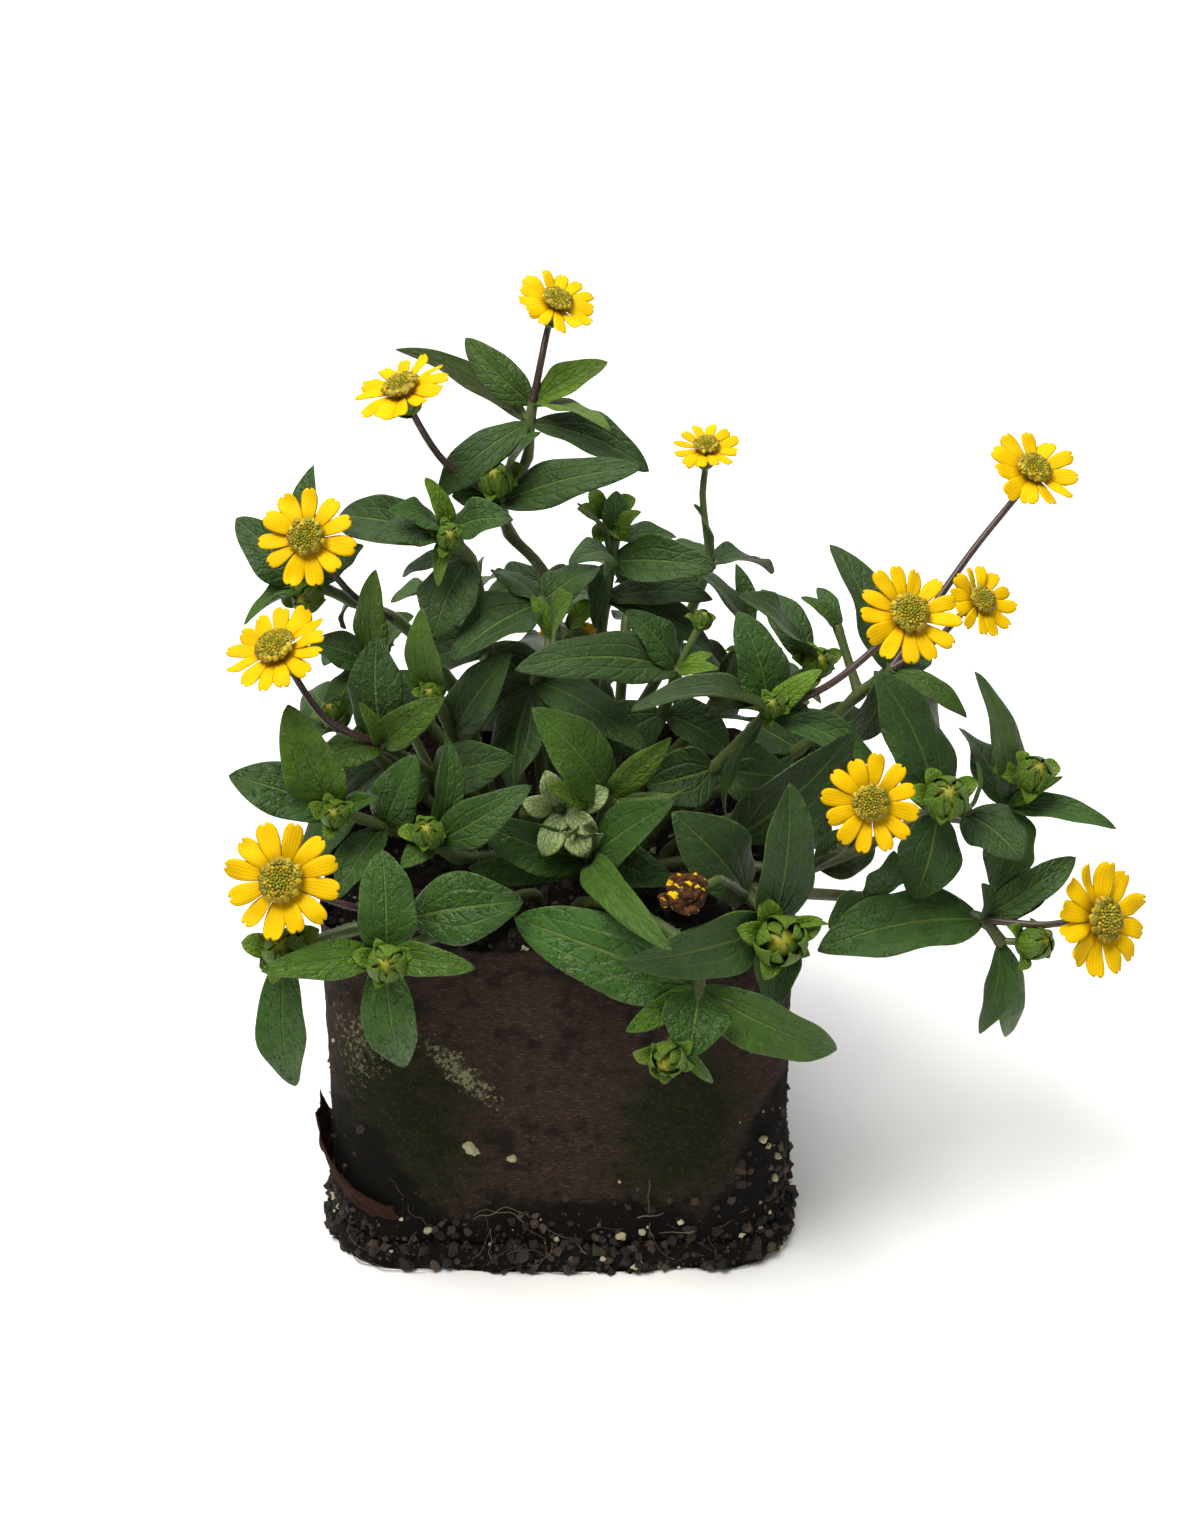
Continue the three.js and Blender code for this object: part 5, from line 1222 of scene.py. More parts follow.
def ovoid(radius, low, high, rows=8, sides=12):
    points, faces = [], []
    for i in range(rows + 1):
        a = -math.pi / 2 + math.pi * (i + (0.5 if i == 0 else -0.5 if i == rows else 0) * 0.2) / rows
        z = math.sin(a) * (high if a > 0 else -low)
        points += [(radius * math.cos(a) * math.cos(2 * math.pi * k / sides),
                radius * math.cos(a) * math.sin(2 * math.pi * k / sides), z) for k in range(sides)]
    for i in range(rows):
        for k in range(sides):
            a, b = sides * i + k, sides * i + (k + 1) % sides
            faces.append((a, b, b + sides, a + sides))
    faces += [tuple(range(sides))[::-1], tuple(range(rows * sides, (rows + 1) * sides))]
    return np.array(points), faces


# Bracts and young leaves all rise from one point
onBud = {"Hollow": 0.0, "Reach": 0.04, "High": 0.0, "Low": -0.04, "Upright": 0.0, "Finish": leafGreen}


# One young leaf beside a bud: out and up from its foot, bent back at its tip
def leafletMesh(name):
    t, s = sheetGrid(bract["rows"], bract["columns"])
    half = 0.42 * np.sin(math.pi * np.clip(0.06 + 0.94 * t, 0, 0.995) ** 0.8) ** 0.8
    rise = -0.9 + 2.3 * t - 1.3 * t ** 2.4 + 0.5 * half * np.abs(s) ** 1.5
    middle = np.stack([s * half, 0.3 + 1.15 * t, rise], -1)
    profile = np.zeros(middle.shape)
    profile[..., 2] = 0.045 * np.sqrt(np.clip(1 - s ** 4, 0, 1))
    points, faces, spot, under = closedSheet(middle, profile, profile, -s, t, 0.5)
    count = len(points)
    return meshFrom(name, points, [face[::-1] for face in faces], {"leafSpot": spot, "under": under * 0.6,
            "tone": np.full(count, 1.0), "wet": np.full(count, 0.3)}, spot)


leafletPiece = helper("leaflet", leafletMesh("leaflet"))


# Young leaves round a tip, pale where they have been nibbled
def tuftMesh(at, way, size, count, seed, pale):
    tuft = grow("leaflets", spiral, emptyMesh, {**onBud, "Piece": leafletPiece, "Count": count, "Lean": 0.3,
            "Small": 0.9, "Large": 1.5, "Unrest": 0.2, "Seed": seed})
    layer = tuft.attributes.new("pale", "FLOAT", "POINT")
    layer.data.foreach_set("value", [pale] * len(tuft.vertices))
    tuft.transform(upMatrix(at, way) @ Matrix.Scale(size, 4))
    return tuft


def budMeshes(at, way, radius, seed, opening):
    place = upMatrix(at, way) @ Matrix.Scale(radius * (1 - 0.25 * opening), 4)
    bracts = grow("bracts", spiral, emptyMesh,
            {**onBud, "Piece": bractPiece, "Count": bract["bud"], "Lean": 0.05 + 0.5 * opening,
            "Small": 0.84, "Large": 1.06 + 0.3 * opening, "Unrest": 0.03, "Seed": seed})
    points, faces = ovoid(0.84 - 0.12 * opening, -1.0, 1.03 - 0.1 * opening)
    core = meshFrom("budCore", points, faces,
            {"ring": even(points, 0.2), "chance": even(points, 0.3), "tip": np.clip(points[:, 2], 0, 1)})
    core.materials.append(floretOlive)
    for mesh in (bracts, core):
        mesh.transform(place)
    return [bracts, core, tuftMesh(at, way, radius, bract["leaflets"], seed + 3, 0.0)]


# how purple stalks and stems are, and how far buds have opened
stalkTints = {"back_stalk": 0.05, "left_top": 0.75, "right_arm": 0.6, "far_right": 0.75}
stemTints = {"left_top": 0.05, "top": 0.35, "back_stalk": 0.1, "far_right": 0.55, "right_arm": 0.4}
openBuds = {"right_rim": 0.55, "front": 0.75}
# More young leaves: place as seen, size, paleness, how far they hang
tufts = {"heart": [((9, 139, 2), 3.2, 0.0, 0.0), ((1.5, 117.5, 3), 3.4, 0.0, 0.0)],
        "inner_front": [((0.5, 76, -30), 4.6, 0.85, 0.5), ((5, 71, -31), 3.0, 0.95, 1.2)]}
random = seeded(ray["seed"])
headNumber = 0
for number, shoot in enumerate(shoots):
    meshes = []
    for stem in shoot["stems"]:
        points = chainOf(stem["points"], 1.8)
        points.append(points[-1] + longer(points[-1] - points[-2], 0.9))
        points = np.array(points)
        share = np.linspace(0, 1, len(points))
        girth = even(points, stem["radius"]) * (1.02 - 0.2 * share)
        for joint in shoot["joints"].values():
            girth *= 1 + 0.28 * np.exp(-(np.linalg.norm(points - joint, axis=1) / 1.8) ** 2)
        if stem["kind"] == "stalk":
            girth *= 0.92 + 0.5 * np.clip(share - 0.82, 0, 1) * 3
            tint = even(points, stalkTints.get(shoot["name"], 0.95))
        else:
            tint = even(points, stemTints.get(shoot["name"], 0.3))
        line = meshFrom("line", points, [], {"girth": girth, "tint": tint},
                edges=[(i, i + 1) for i in range(len(points) - 1)])
        tube = grow("tube", stemTube, line, {"Sides": 8, "Finish": stemSkin})
        meshes.append(grow("hairs", hairs, tube.copy(), {"Density": hair["density"], "Long": hair["long"],
                "Thick": hair["thick"], "Seed": number, "Finish": hairPale}))
        meshes.append(tube)
    for k, bud in enumerate(shoot["buds"]):
        way = bud["at"] - bud["from"]
        if np.linalg.norm(way) > 0.5:
            points = np.array([bud["from"] + way * q for q in np.linspace(0, 1, 5)])
            line = meshFrom("line", points, [], {"girth": np.full(5, 0.7), "tint": np.full(5, 0.15)},
                    edges=[(i, i + 1) for i in range(4)])
            meshes.append(grow("tube", stemTube, line, {"Sides": 8, "Finish": stemSkin}))
        facing = unit(way) * 0.8 + toEye * 0.7 + np.array((0, 0, 0.3))
        meshes += budMeshes(bud["at"], facing, bud["radius"], 11 * number + k,
                openBuds.get(shoot["name"], 0.0))
    for k, (spot, size, pale, hang) in enumerate(tufts.get(shoot["name"], [])):
        meshes.append(tuftMesh(seen(spot), toEye + np.array((0, 0, 0.4 - hang)), size, 6, 50 + k, pale))
    for head in shoot["heads"]:
        disc = plant["disc"] * head["radius"]
        place = headMatrix(head["frame"])
        cup = grow("cup", spiral, emptyMesh, {"Piece": cupPiece, "Count": bract["cup"], "Hollow": 0.0,
                "Reach": 0.3, "High": 0.0, "Low": -0.2, "Upright": 0.25, "Lean": 0.5, "Small": 1.0,
                "Large": 1.1, "Unrest": 0.05, "Seed": number, "Finish": leafGreen})
        cup.transform(place @ Matrix.Translation((0, 0, -1.9)) @ Matrix.Scale(disc * 0.62, 4))
        meshes.append(cup)
        points, faces = ovoid(disc * 0.8, -3.0, 1.4)
        base = meshFrom("cupBase", points + np.array((0, 0, -1.9)), faces, {"tint": even(points, 0.1)})
        base.materials.append(stemSkin)
        base.transform(place)
        meshes.append(base)
    addPiece("stems_" + shoot["name"], joined("stems", meshes), None,
            ["shoot_" + shoot["name"]])
    for head in shoot["heads"]:
        headNumber += 1
        label = "bloom_%02d" % headNumber
        radius, count = head["radius"], head["count"]
        disc = plant["disc"] * radius
        roots = [2 * math.pi * (i + 0.25 * random()) / count for i in range(count)]
        rows = []
        for i in range(count):
            after = roots[i + 1] if i + 1 < count else roots[0] + 2 * math.pi
            reach = radius * (0.92 + 0.1 * random())
            rows.append(((roots[i] + after) / 2, reach, 0.35 + 0.75 * random()))
        rows = np.array(rows)
        seeds = meshFrom("rayPoints", np.zeros((count, 3)), [], {"turn": rows[:, 0], "reach": rows[:, 1],
                "lift": rows[:, 2], "width": 4.2 * radius / count * (0.9 + 0.2 * (rows[:, 1] * 7.7 % 1))})
        rays = grow("rays", rayRing, seeds, {"Piece": rayPiece, "Root": disc * 0.5, "Ripple": ray["ripple"],
                "Seed": headNumber, "Finish": petalYellow})
        rays.transform(headMatrix(head["frame"]))
        addPiece("rays_%02d" % headNumber, rays, None, [label + "_rays"])
        low = 0.35 + plant["gap"]
        inner = grow("inner", spiral, emptyMesh, {"Piece": shutFloret, "Count": floret["inner"],
                "Hollow": 0.0, "Reach": disc * 0.48, "High": low + disc * 0.32, "Low": low + disc * 0.16,
                "Upright": 0.0, "Lean": 0.4, "Small": disc * 0.3, "Large": disc * 0.36, "Unrest": 0.08,
                "Seed": 7 * headNumber, "Finish": floretOlive})
        outer = grow("outer", spiral, emptyMesh,
                {"Piece": openFloret, "Count": floret["outer"], "Hollow": disc * 0.4, "Reach": disc * 0.68,
                "High": low + disc * 0.14, "Low": low, "Upright": 0.3, "Lean": 0.65, "Small": disc * 0.32,
                "Large": disc * 0.38, "Unrest": 0.12, "Seed": 7 * headNumber + 1, "Finish": floretOlive})
        points, faces = ovoid(disc * 0.72, -0.1, disc * 0.46)
        bed = meshFrom("bed", points + np.array((0, 0, low)), faces,
                {"ring": even(points, 0.3), "chance": even(points, 0.2), "tip": even(points, 0.3)})
        bed.materials.append(floretOlive)
        florets = joined("florets", [inner, outer, bed])
        florets.transform(headMatrix(head["frame"]))
        addPiece("disc_%02d" % headNumber, florets, None, [label + "_disc"])
for thing in (bractPiece, cupPiece, leafletPiece, openFloret, shutFloret, rayPiece):
    bpy.data.objects.remove(thing)
print("stems, buds and heads ready:", headNumber, "heads")

# paper sleeve
sleeve = {"half": 44, "corner": 16, "top": 72, "foot": 5.35, "wall": 1.4, "rim": 0.5, "around": 300,
        "rows": 64, "crease": 0.6, "crumple": 0.3, "fray": 1.3}


def patchNoise(points, size, shift=0.0):
    return np.array([noise.noise(Vector(p) / size + Vector((shift, 2 * shift, -shift))) for p in points])


# Rounded square with shallow hollows beside the two front corners, as in the solid sleeve
def rimRadius(turn):
    flat = sleeve["half"] - sleeve["corner"]
    low, high = np.zeros(turn.shape), np.full(turn.shape, 1.5 * sleeve["half"])
    for halving in range(40):
        r = (low + high) / 2
        x = np.maximum(0, np.abs(r * np.cos(turn)) - flat)
        y = np.maximum(0, np.abs(r * np.sin(turn)) - flat)
        inside = np.hypot(x, y) < sleeve["corner"]
        low, high = np.where(inside, r, low), np.where(inside, high, r)
    for side in (-62, -118):
        low = low - 1.3 * np.exp(-((np.degrees(turn) - side) / 6) ** 2)
    return low


# Places on rings round the block: profile gives inset and height for each ring
def ringGrid(turns, insets, heights):
    radius = rimRadius(turns)[None, :] - insets
    return np.stack([radius * np.cos(turns), radius * np.sin(turns), heights], -1)


def ringFaces(rows, around, closed):
    faces = []
    for i in range(rows - 1 + closed):
        a = np.arange(around) + i * around
        b = np.roll(np.arange(around), -1) + i * around
        up = (i + 1) % rows - i
        faces.append(np.stack([a, b, b + up * around, a + up * around], 1))
    return np.concatenate(faces)


def makeSleeve():
    around = sleeve["around"]
    turns = -math.pi + 2 * math.pi * np.arange(around) / around
    rise = np.linspace(0, 1, sleeve["rows"])
    outer = np.stack([np.zeros_like(rise), rise], 1)
    lip = np.array([(0.12, 1.004), (0.38, 1.004)])
    inner = np.stack([np.interp(np.linspace(1, 0, 14), [0, 0.85, 1],
            [sleeve["wall"], sleeve["wall"], sleeve["rim"]]), np.linspace(1, 0, 14)], 1)
    profile = np.concatenate([outer, lip, inner])
    flatPoints = ringGrid(turns, profile[:, :1] * np.ones(around),
            sleeve["foot"] + profile[:, 1:] * (sleeve["top"] - sleeve["foot"]) * np.ones(around))
    rim = flatPoints[sleeve["rows"] - 1]
    fray = sleeve["fray"] * (patchNoise(rim, 7.0) * 0.8 + patchNoise(rim, 1.6, 4.0) * 0.5)
    flat = flatPoints.reshape(-1, 3)
    tall = np.clip((flatPoints[..., 2] - 55) / 17, 0, 1) ** 2
    upright = flat * np.array((1, 1, 0.35))
    bulge = (sleeve["crease"] * patchNoise(upright, 9.0, 1.0)
            + sleeve["crumple"] * patchNoise(flat, 2.6, 2.0) + 0.12 * patchNoise(flat, 0.9, 3.0))
    out = np.stack([np.cos(turns), np.sin(turns), np.zeros(around)], -1)
    placed = flatPoints + bulge.reshape(flatPoints.shape[:2])[..., None] * out
    placed[..., 2] += tall * fray
    return meshFrom("sleeve", placed.reshape(-1, 3), ringFaces(len(profile), around, True))


# A strip of torn paper stands off the sleeve round its front left corner: turn, top, bottom, stand
tears = [(-153, 27, 21, 2.4), (-148, 26, 17, 2.8), (-142, 23.5, 14, 2.6),
         (-136, 20, 12, 2.2), (-130, 17, 11, 1.5), (-125, 15, 11.5, 0.9)]


def makeTornStrip():
    t, s = np.meshgrid(np.linspace(0, 1, 46), np.linspace(0, 1, 12), indexing="ij")
    rows = np.array(tears, float)
    turn = np.radians(np.interp(t, np.linspace(0, 1, 6), rows[:, 0]))
    top, low, stand = (np.interp(t, np.linspace(0, 1, 6), rows[:, k]) for k in (1, 2, 3))
    radius = rimRadius(turn) + 0.3 + stand * np.sin((1 - s) * math.pi * 0.5) ** 1.3
    z = top + (low - top) * s
    middle = np.stack([radius * np.cos(turn), radius * np.sin(turn), z], -1)
    flat = middle.reshape(-1, 3)
    ragged = (patchNoise(flat, 2.2, 5.0) + 0.6 * patchNoise(flat, 0.9, 6.0)).reshape(t.shape)
    out = np.stack([np.cos(turn), np.sin(turn), np.zeros(t.shape)], -1)
    middle = middle + out * (0.5 * ragged)[..., None]
    middle[..., 2] += 1.4 * ragged * np.abs(2 * s - 1) ** 3
    thick = (0.28 * np.clip(1 - (2 * s - 1) ** 6, 0, 1))[..., None] * out
    points, faces = closedSheet(middle, thick, thick, s, t, 0.5)[:2]
    return meshFrom("tornStrip", points, faces[:, ::-1])


paperLook = {"paper": (0.050, 0.030, 0.024), "fleck": (0.16, 0.105, 0.075), "dark": (0.009, 0.006, 0.005),
             "algaeAndShade": (0.013, 0.017, 0.004), "lichen": (0.040, 0.050, 0.014),
             # the soil colour also serves as painted shade up the sleeve's left and right sides
             "moss": (0.36, 0.36, 0.19), "soil": (0.006, 0.005, 0.004),
             "torn": (0.055, 0.020, 0.013), "tornFleck": (0.12, 0.05, 0.03), "roughness": 0.92,
             # patches on the front: across, up, half width, half height, lean; the two dark green ones lie
             # in the front hollows and are algae and painted shade
             "algaeShadeLeft": (-28.0, 33.0, 14.0, 22.0, 0.2), "algaeShadeRight": (23.0, 33.0, 13.0, 20.0, -0.3),
             "mossStreak": (-17.5, 45.5, 11.0, 6.5, 0.9), "mossEdge": (-37.0, 50.0, 10.0, 17.0)}


def spotMask(tree, part, x, z, wide, tall, lean=0.0):
    dx = less(tree, part[0], x)
    dz = plus(tree, less(tree, part[2], z), times(tree, dx, lean))
    far = plus(tree, calc(tree, "POWER", calc(tree, "ABSOLUTE", calc(tree, "DIVIDE", dx, wide)), 2.0),
            calc(tree, "POWER", calc(tree, "ABSOLUTE", calc(tree, "DIVIDE", dz, tall)), 2.0))
    return calc(tree, "EXPONENT", times(tree, far, -1.0))


def makePaperMaterial(name, torn):
    material, tree, shader = newMaterial(name)
    where = objectSpot(tree, 1000.0)
    part = addNode(tree, "ShaderNodeSeparateXYZ", {0: where}).outputs
    # the fibres of the paper lie mostly level
    laid = addNode(tree, "ShaderNodeVectorMath", {0: where, 1: (0.55, 0.55, 2.6)},
            operation="MULTIPLY").outputs[0]
    fibre = noiseOf(tree, laid, 1.5, 6.0, 0.72)
    grain = noiseOf(tree, laid, 4.6, 3.0, 0.7)
    broad = noiseOf(tree, where, 0.085, 4.0, 0.6, 0.6)
    patch = noiseOf(tree, where, 0.24, 4.0, 0.6, 0.3)
    fine = noiseOf(tree, where, 1.3, 4.0, 0.7)
    base = paperLook["torn"] if torn else paperLook["paper"]
    body = blendColour(tree, clampedRange(tree, fibre, 0.5, 0.66, 0.0, 0.8), base,
            paperLook["tornFleck" if torn else "fleck"])
    body = blendColour(tree, clampedRange(tree, grain, 0.5, 0.36, 0.0, 0.85), body, paperLook["dark"])
    body = blendColour(tree, clampedRange(tree, patch, 0.5, 0.66, 0.0, 0.7), body, paperLook["dark"])
    if not torn:
        front = clampedRange(tree, part[1], -30.0, -38.0, 0.0, 1.0)
        # dark green-black in the two front hollows is algae and painted shade; the random patches elsewhere
        # are algae only
        green = calc(tree, "MAXIMUM", spotMask(tree, part, *paperLook["algaeShadeLeft"]),
                spotMask(tree, part, *paperLook["algaeShadeRight"]))
        green = times(tree, green, front)
        elsewhere = times(tree, clampedRange(tree, broad, 0.48, 0.6), less(tree, 1.0, front))
        green = calc(tree, "MAXIMUM", green, times(tree, elsewhere, 0.8))
        green = times(tree, green,
                plus(tree, times(tree, fine, 1.4), times(tree, less(tree, patch, 0.36), 2.0)))
        body = blendColour(tree, clampedRange(tree, green, 0.1, 0.8, 0.0, 0.9), body, paperLook["algaeAndShade"])
        speckle = times(tree, clampedRange(tree, green, 0.2, 0.6),
                clampedRange(tree, fine, 0.5, 0.66, 0.0, 0.75))
        body = blendColour(tree, speckle, body, paperLook["lichen"])
        mossy = calc(tree, "MAXIMUM", spotMask(tree, part, *paperLook["mossStreak"]),
                times(tree, spotMask(tree, part, *paperLook["mossEdge"]), 0.8))
        mossy = times(tree, mossy, front)
        mossy = calc(tree, "MAXIMUM", mossy, times(tree, elsewhere, 0.42))
        grit = noiseOf(tree, where, 0.95, 5.0, 0.75)
        mossy = clampedRange(tree, plus(tree, times(tree, mossy, 0.36), grit), 0.78, 0.9, 0.0, 0.8)
        body = blendColour(tree, mossy, body, paperLook["moss"])
        # near-black below a ragged line: soil stain along the sleeve's foot, with painted shade where the
        # line climbs up the left and right sides
        edge = plus(tree, times(tree, broad, 38.0), times(tree, fine, 7.0))
        side = clampedRange(tree, calc(tree, "ABSOLUTE", less(tree, part[0], 2.0)), 24.0, 44.0, 0.0, 24.0)
        low = less(tree, less(tree, part[2], edge), less(tree, side, 8.0))
        body = blendColour(tree, clampedRange(tree, low, 5.0, -3.0, 0.0, 0.95), body, paperLook["soil"])
    feed(tree, body, shader.inputs["Base Color"])
    shader.inputs["Roughness"].default_value = paperLook["roughness"]
    shader.inputs["Specular IOR Level"].default_value = 0.12
    height = plus(tree, times(tree, fibre, 1.0),
            plus(tree, times(tree, fine, 1.3), times(tree, grain, 0.5)))
    roughened(tree, shader, 0.9, 0.001, height)
    return material


sleevePaper = makePaperMaterial("sleevePaper", False)
tornPaper = makePaperMaterial("tornPaper", True)
addPiece("sleeve", makeSleeve(), sleevePaper, ["paper_sleeve"])
addPiece("tornStrip", makeTornStrip(), tornPaper, ["paper_sleeve"])
print("sleeve ready")

# soil, crumbs, perlite and roots
soil = {"top": 67.2, "footTop": 5.2, "inset": 1.9, "around": 260, "rings": 34, "lump": 1.5, "grit": 0.9}
soilLook = {"wet": (0.004, 0.0035, 0.003), "peat": (0.016, 0.011, 0.008), "fibre": (0.08, 0.056, 0.036)}


def makeSoilMaterial():
    material, tree, shader = newMaterial("pottingSoil")
    where = objectSpot(tree, 1000.0)
    lump = noiseOf(tree, where, 0.45, 5.0, 0.7)
    fine = noiseOf(tree, where, 2.4, 3.0, 0.7)
    body = blendColour(tree, clampedRange(tree, lump, 0.4, 0.65), soilLook["wet"], soilLook["peat"])
    body = blendColour(tree, clampedRange(tree, fine, 0.64, 0.76, 0.0, 0.6), body, soilLook["fibre"])
    feed(tree, body, shader.inputs["Base Color"])
    feed(tree, clampedRange(tree, lump, 0.35, 0.6, 0.55, 0.95), shader.inputs["Roughness"])
    shader.inputs["Specular IOR Level"].default_value = 0.12
    roughened(tree, shader, 1.0, 0.0016, plus(tree, lump, times(tree, fine, 0.5)))
    return material


def makeCrumbMaterial(name, low, high, roughness):
    material, tree, shader = newMaterial(name)
    chance = readAttribute(tree, "chance").outputs["Fac"]
    fine = noiseOf(tree, objectSpot(tree, 1000.0), 2.6, 3.0, 0.6)
    body = blendColour(tree, calc(tree, "POWER", chance, 2.5), low, high)
    shade = plus(tree, 0.6, times(tree, fine, 0.8))
    feed(tree, scaled(tree, body, shade), shader.inputs["Base Color"])
    shader.inputs["Roughness"].default_value = roughness
    roughened(tree, shader, 0.6, 0.0003, fine)
    return material


# The block: bumpy on top, hidden in the sleeve, and spread out at its foot
def makeSoilBlock():
    around = soil["around"]
    turns = -math.pi + 2 * math.pi * np.arange(around) / around
    insets, heights, rough = [], [], []
    for share in np.linspace(0.03, 1, soil["rings"]):
        insets.append(("scale", share))
        heights.append(soil["top"])
        rough.append(1.0)
    for z in np.linspace(soil["top"] - 2, soil["footTop"] + 1, 8):
        insets.append(("inset", soil["inset"]))
        heights.append(z)
        rough.append(0.0)
    # the spread foot, from its top inwards to its underside
    for inset, z in ((0.6, 5.6), (-0.8, 5.3), (-1.6, 4.6), (-2.0, 3.8), (-2.2, 3.0), (-2.2, 2.2),
            (-2.1, 1.4), (-1.9, 0.7), (-1.5, 0.0), (4.0, 0.0)):
        insets.append(("inset", inset))
        heights.append(z)
        rough.append(0.9 if z > 0.1 else 0.0)
    insets.append(("scale", 0.03))
    heights.append(0.0)
    rough.append(0.0)
    wall = rimRadius(turns)
    rings = []
    for (sort, value), z in zip(insets, heights):
        radius = (wall - soil["inset"]) * value if sort == "scale" else wall - value
        rings.append(np.stack([radius * np.cos(turns), radius * np.sin(turns), np.full(around, z)], -1))
    grid = np.stack(rings)
    flat = grid.reshape(-1, 3)
    bumps = (soil["lump"] * patchNoise(flat, 5.0, 7.0) + soil["grit"] * patchNoise(flat, 1.7, 8.0)
            + 0.25 * patchNoise(flat, 0.7, 9.0)).reshape(grid.shape[:2])
    bumps *= np.array(rough)[:, None]
    top = np.arange(len(heights)) < soil["rings"]
    grid[top, :, 2] += bumps[top] * 1.3
    out = np.stack([np.cos(turns), np.sin(turns), np.zeros(around)], -1)
    grid[~top] += bumps[~top][..., None] * out
    grid[..., 2] = np.maximum(grid[..., 2], 0.0)
    points = grid.reshape(-1, 3)
    rows = len(heights)
    faces = ringFaces(rows, around, False)[:, ::-1].tolist()
    centreTop, centreLow = len(points), len(points) + 1
    points = np.concatenate([points, [[0, 0, soil["top"] + 0.3], [0, 0, 0]]])
    for k in range(around):
        faces.append((centreTop, k, (k + 1) % around))
        faces.append((centreLow, (rows - 1) * around + (k + 1) % around, (rows - 1) * around + k))
    return points, faces


# Crumbs strewn over a surface as thick as its litter says
def makeCrumbTree():
    tree, given, result = newTree("strewn", {"Density": 0.02, "Small": 0.4, "Large": 1.4, "Sink": 0.2,
            "Flat": 0.7, "Seed": 1, "Finish": None})
    density = times(tree, named(tree, "litter"), given["Density"])
    strewn = addNode(tree, "GeometryNodeDistributePointsOnFaces",
            {"Mesh": given["Geometry"], "Density": density, "Seed": given["Seed"]})
    seed = given["Seed"]
    points = store(tree, strewn.outputs["Points"], "chance", chanceOf(tree, 0.0, 1.0, plus(tree, seed, 1)))
    draw = chanceOf(tree, 0.0, 1.0, plus(tree, seed, 2))
    size = mixed(tree, calc(tree, "POWER", draw, 3.0), given["Small"], given["Large"])
    stone = addNode(tree, "GeometryNodeMeshUVSphere",
            {"Radius": 0.5, "Segments": 7, "Rings": 4}).outputs["Mesh"]
    shape = addNode(tree, "ShaderNodeTexNoise", {"Scale": 1.9, "Detail": 1.0}).outputs["Color"]
    push = addNode(tree, "ShaderNodeVectorMath", {0: shape, 1: (0.5, 0.5, 0.5)},
            operation="SUBTRACT").outputs[0]
    knobbly = addNode(tree, "GeometryNodeSetPosition", {"Geometry": stone, "Offset": push}).outputs[0]
    spin = addNode(tree, "FunctionNodeRandomValue", None, data_type="FLOAT_VECTOR")
    spin.inputs[1].default_value = (6.28, 6.28, 6.28)
    feed(tree, plus(tree, seed, 3), spin.inputs["Seed"])
    way = addNode(tree, "FunctionNodeEulerToRotation", {0: spin.outputs[0]}).outputs[0]
    stones = addNode(tree, "GeometryNodeInstanceOnPoints",
            {"Points": points, "Instance": knobbly, "Rotation": way, "Scale": vectorOf(tree, size,
            times(tree, size, 0.8), times(tree, size, given["Flat"]))}).outputs[0]
    real = addNode(tree, "GeometryNodeRealizeInstances", {"Geometry": stones}).outputs[0]
    finished(tree, real, given, result)
    return tree


def aboveFloor(mesh):
    spots = np.zeros(len(mesh.vertices) * 3, np.float32)
    mesh.vertices.foreach_get("co", spots)
    spots[2::3] = np.maximum(spots[2::3], 0.0)
    mesh.vertices.foreach_set("co", spots)
    return mesh


def litterGround(points, faces, values):
    return meshFrom("litterGround", points, faces, {"litter": values})


pottingSoil = makeSoilMaterial()
crumbBrown = makeCrumbMaterial("crumbBrown", (0.006, 0.005, 0.004), (0.07, 0.045, 0.03), 0.9)
perliteWhite = makeCrumbMaterial("perliteWhite", (0.34, 0.32, 0.18), (0.55, 0.53, 0.40), 0.8)
rootPale = makeCrumbMaterial("rootPale", (0.05, 0.036, 0.024), (0.21, 0.165, 0.11), 0.8)
strewn = makeCrumbTree()
soilPoints, soilFaces = makeSoilBlock()
addPiece("soilBlock", meshFrom("soilBlock", soilPoints, soilFaces), pottingSoil,
        ["soil_block"])

# litter lies on the block's top and foot, and clings to the foot of the sleeve, most at the right
low = soilPoints[:, 2]
litterSoil = np.where(low > 60, 1.0, np.where((low > 0.3) & (low < 6.5), 5.0, 0.0))
ground = litterGround(soilPoints, soilFaces, litterSoil)
sleeveMesh = bpy.data.objects["sleeve"].data
sleevePoints = np.zeros(len(sleeveMesh.vertices) * 3, np.float32)
sleeveMesh.vertices.foreach_get("co", sleevePoints)
sleevePoints = sleevePoints.reshape(-1, 3) / millimetre
outerCount = sleeve["around"] * sleeve["rows"]
height = sleevePoints[:, 2] + 6 * patchNoise(sleevePoints, 9.0, 11.0)
cling = 1.3 * np.exp(-np.clip(height - 7, 0, None) / 3.5)
turnAll = np.degrees(np.arctan2(sleevePoints[:, 1], sleevePoints[:, 0]))
for centre, wide, tall, amount in ((-38, 13, 36, 1.1), (-146, 9, 50, 0.4), (60, 20, 30, 0.5),
        (160, 18, 34, 0.5)):
    away = (turnAll - centre + 180) % 360 - 180
    cling = np.maximum(cling,
            amount * np.exp(-(away / wide) ** 2) * np.clip((tall - height) / tall, 0, 1) ** 0.7)
cling[outerCount:] = 0
wallFaces = ringFaces(sleeve["rows"], sleeve["around"], False)
wall = litterGround(sleevePoints[:outerCount], wallFaces, cling[:outerCount])
crumbs = [grow("crumbs", strewn, ground,
        {"Density": 0.1, "Small": 0.6, "Large": 3.2, "Seed": 3, "Finish": crumbBrown}), grow("crumbs",
        strewn, wall, {"Density": 0.42, "Small": 0.4, "Large": 2.6, "Seed": 9, "Finish": crumbBrown})]
addPiece("soilCrumbs", aboveFloor(joined("soilCrumbs", crumbs)), None, ["soil_block"])
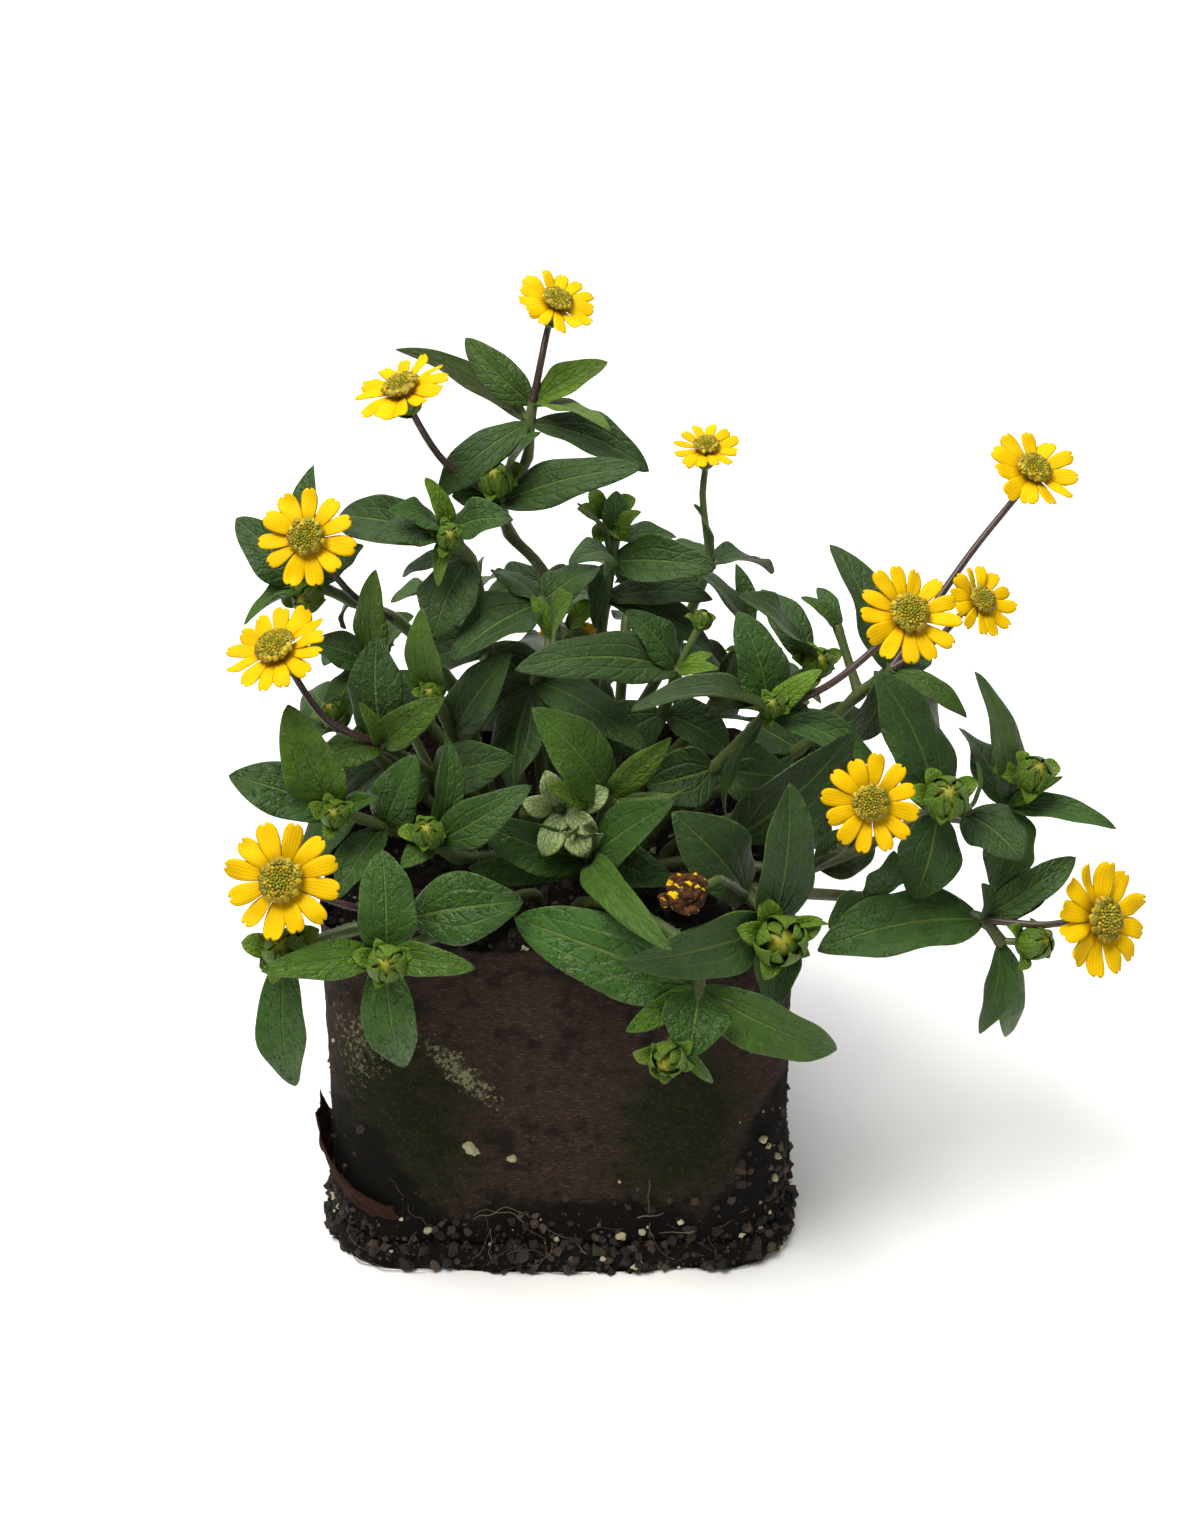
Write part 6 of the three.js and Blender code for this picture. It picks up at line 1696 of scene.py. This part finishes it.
perlite = [grow("perlite", strewn, ground,
        {"Density": 0.003, "Small": 0.8, "Large": 2.8, "Seed": 21, "Finish": perliteWhite}), grow("perlite",
        strewn, wall, {"Density": 0.02, "Small": 0.5, "Large": 2.2, "Seed": 22, "Finish": perliteWhite})]
# the larger white lumps of the front: turn round the sleeve, height, size
lumps = [(-110.6, 28.9, 2.4), (-109.2, 28.1, 1.6), (-101, 26.5, 1.7), (-46, 28, 1.6), (-44.5, 25.5, 1.2),
         (-41, 21, 1.6), (-42, 16.5, 1.7), (-120, 8.5, 1.6), (-75, 8, 1.9), (-70, 8.6, 1.4)]
for k, (turn, z, size) in enumerate(lumps):
    turn = math.radians(turn)
    points, faces = ovoid(size * 0.5, -size * 0.42, size * 0.42, 8, 12)
    points = points * (1 + 0.7 * patchNoise(points, 0.45 * size, 20.0 + k))[:, None]
    r = float(rimRadius(np.array([turn]))[0]) + 0.5
    lump = meshFrom("lump", points + np.array((r * math.cos(turn), r * math.sin(turn), z)), faces,
            {"chance": even(points, 0.2)})
    lump.materials.append(perliteWhite)
    perlite.append(lump)
addPiece("perlite", aboveFloor(joined("perlite", perlite)), None, ["soil_block"])
print("soil ready")

# fine roots along the foot
root = {"count": 56, "front": 20, "step": 1.1, "thin": 0.06, "thick": 0.15, "seed": 613}


def makeRoots():
    random = seeded(root["seed"])
    points, edges, girths, chances = [], [], [], []
    for number in range(root["count"]):
        turn = 2 * math.pi * random()
        if number < root["front"]:
            turn = math.radians(-135 + 95 * random())
        z = 1.0 + 13 * random() ** 1.6
        heading = 2 * math.pi * random()
        bend = (random() - 0.5) * 0.5
        girth = root["thin"] + (root["thick"] - root["thin"]) * random() ** 2
        steps = int(5 + 13 * random())
        if number == 0:
            # one pale straw stands upright, a little right of the middle
            turn, z, heading, bend, girth, steps = math.radians(-68.5), 21.0, -1.55, 0.0, 0.2, 9
        for k in range(steps):
            stand = 0.35 + 0.35 * math.sin(1.3 * k + number) + (1.9 if z < 6 else 0.0)
            r = float(rimRadius(np.array([turn]))[0]) + stand
            points.append((r * math.cos(turn), r * math.sin(turn), max(0.4, z)))
            girths.append(girth * (1.1 - 0.7 * k / steps))
            chances.append(0.2 + 0.8 * ((number * 37) % 11) / 11)
            if k:
                edges.append((len(points) - 2, len(points) - 1))
            turn += root["step"] * math.cos(heading) / sleeve["half"]
            z += root["step"] * math.sin(heading)
            heading += bend + (random() - 0.5) * (0.9 if number else 0.1)
    line = meshFrom("rootLine", points, [], {"girth": girths, "chance": chances}, edges=edges)
    return grow("roots", stemTube, line, {"Sides": 4, "Finish": rootPale})


addPiece("roots", makeRoots(), None, ["soil_block"])

# the withered head
witheredLook = {"brown": (0.085, 0.030, 0.008), "dark": (0.018, 0.008, 0.004),
        "yellow": (0.70, 0.46, 0.004)}


def makeWitheredMaterial():
    material, tree, shader = newMaterial("witheredBrown")
    where = objectSpot(tree, 1000.0)
    rough = noiseOf(tree, where, 0.9, 4.0, 0.7)
    fleck = noiseOf(tree, where, 0.55, 2.0, 0.5)
    body = blendColour(tree, clampedRange(tree, rough, 0.4, 0.62), witheredLook["dark"],
            witheredLook["brown"])
    body = blendColour(tree, clampedRange(tree, fleck, 0.58, 0.66, 0.0, 0.85), body, witheredLook["yellow"])
    feed(tree, body, shader.inputs["Base Color"])
    shader.inputs["Roughness"].default_value = 0.8
    shader.inputs["Specular IOR Level"].default_value = 0.15
    roughened(tree, shader, 0.8, 0.0005, rough)
    return material


witheredBrown = makeWitheredMaterial()


def makeWithered():
    dead = next(shoot["dead"] for shoot in shoots if shoot["dead"])
    size = dead["radius"]
    points, faces = ovoid(size * 0.78, -size * 0.6, size * 0.66, 16, 24)
    points = points * (1 + 0.22 * patchNoise(points, 1.4, 13.0))[:, None]
    core = meshFrom("core", points, faces)
    core.materials.append(witheredBrown)
    shrivelled = helper("shrivelled", rayMesh("shrivelled"))
    shrivelled.data.transform(Matrix.Rotation(math.radians(90), 4, "X"))
    rays = grow("dryRays", spiral, emptyMesh, {"Piece": shrivelled, "Count": 26, "Hollow": 0.2,
            "Reach": size * 0.5, "High": size * 0.1, "Low": 0.0, "Upright": 0.15, "Lean": 1.2,
            "Small": size * 0.55, "Large": size * 0.62, "Unrest": 0.22, "Seed": 5, "Finish": witheredBrown})
    bpy.data.objects.remove(shrivelled)
    place = Matrix.Translation(dead["at"]) @ Matrix.Rotation(math.radians(25), 4, "X")
    for mesh in (core, rays):
        mesh.transform(place)
    return joined("withered", [core, rays])


addPiece("witheredHead", makeWithered(), None, ["withered_head"])
print("roots and withered head ready")
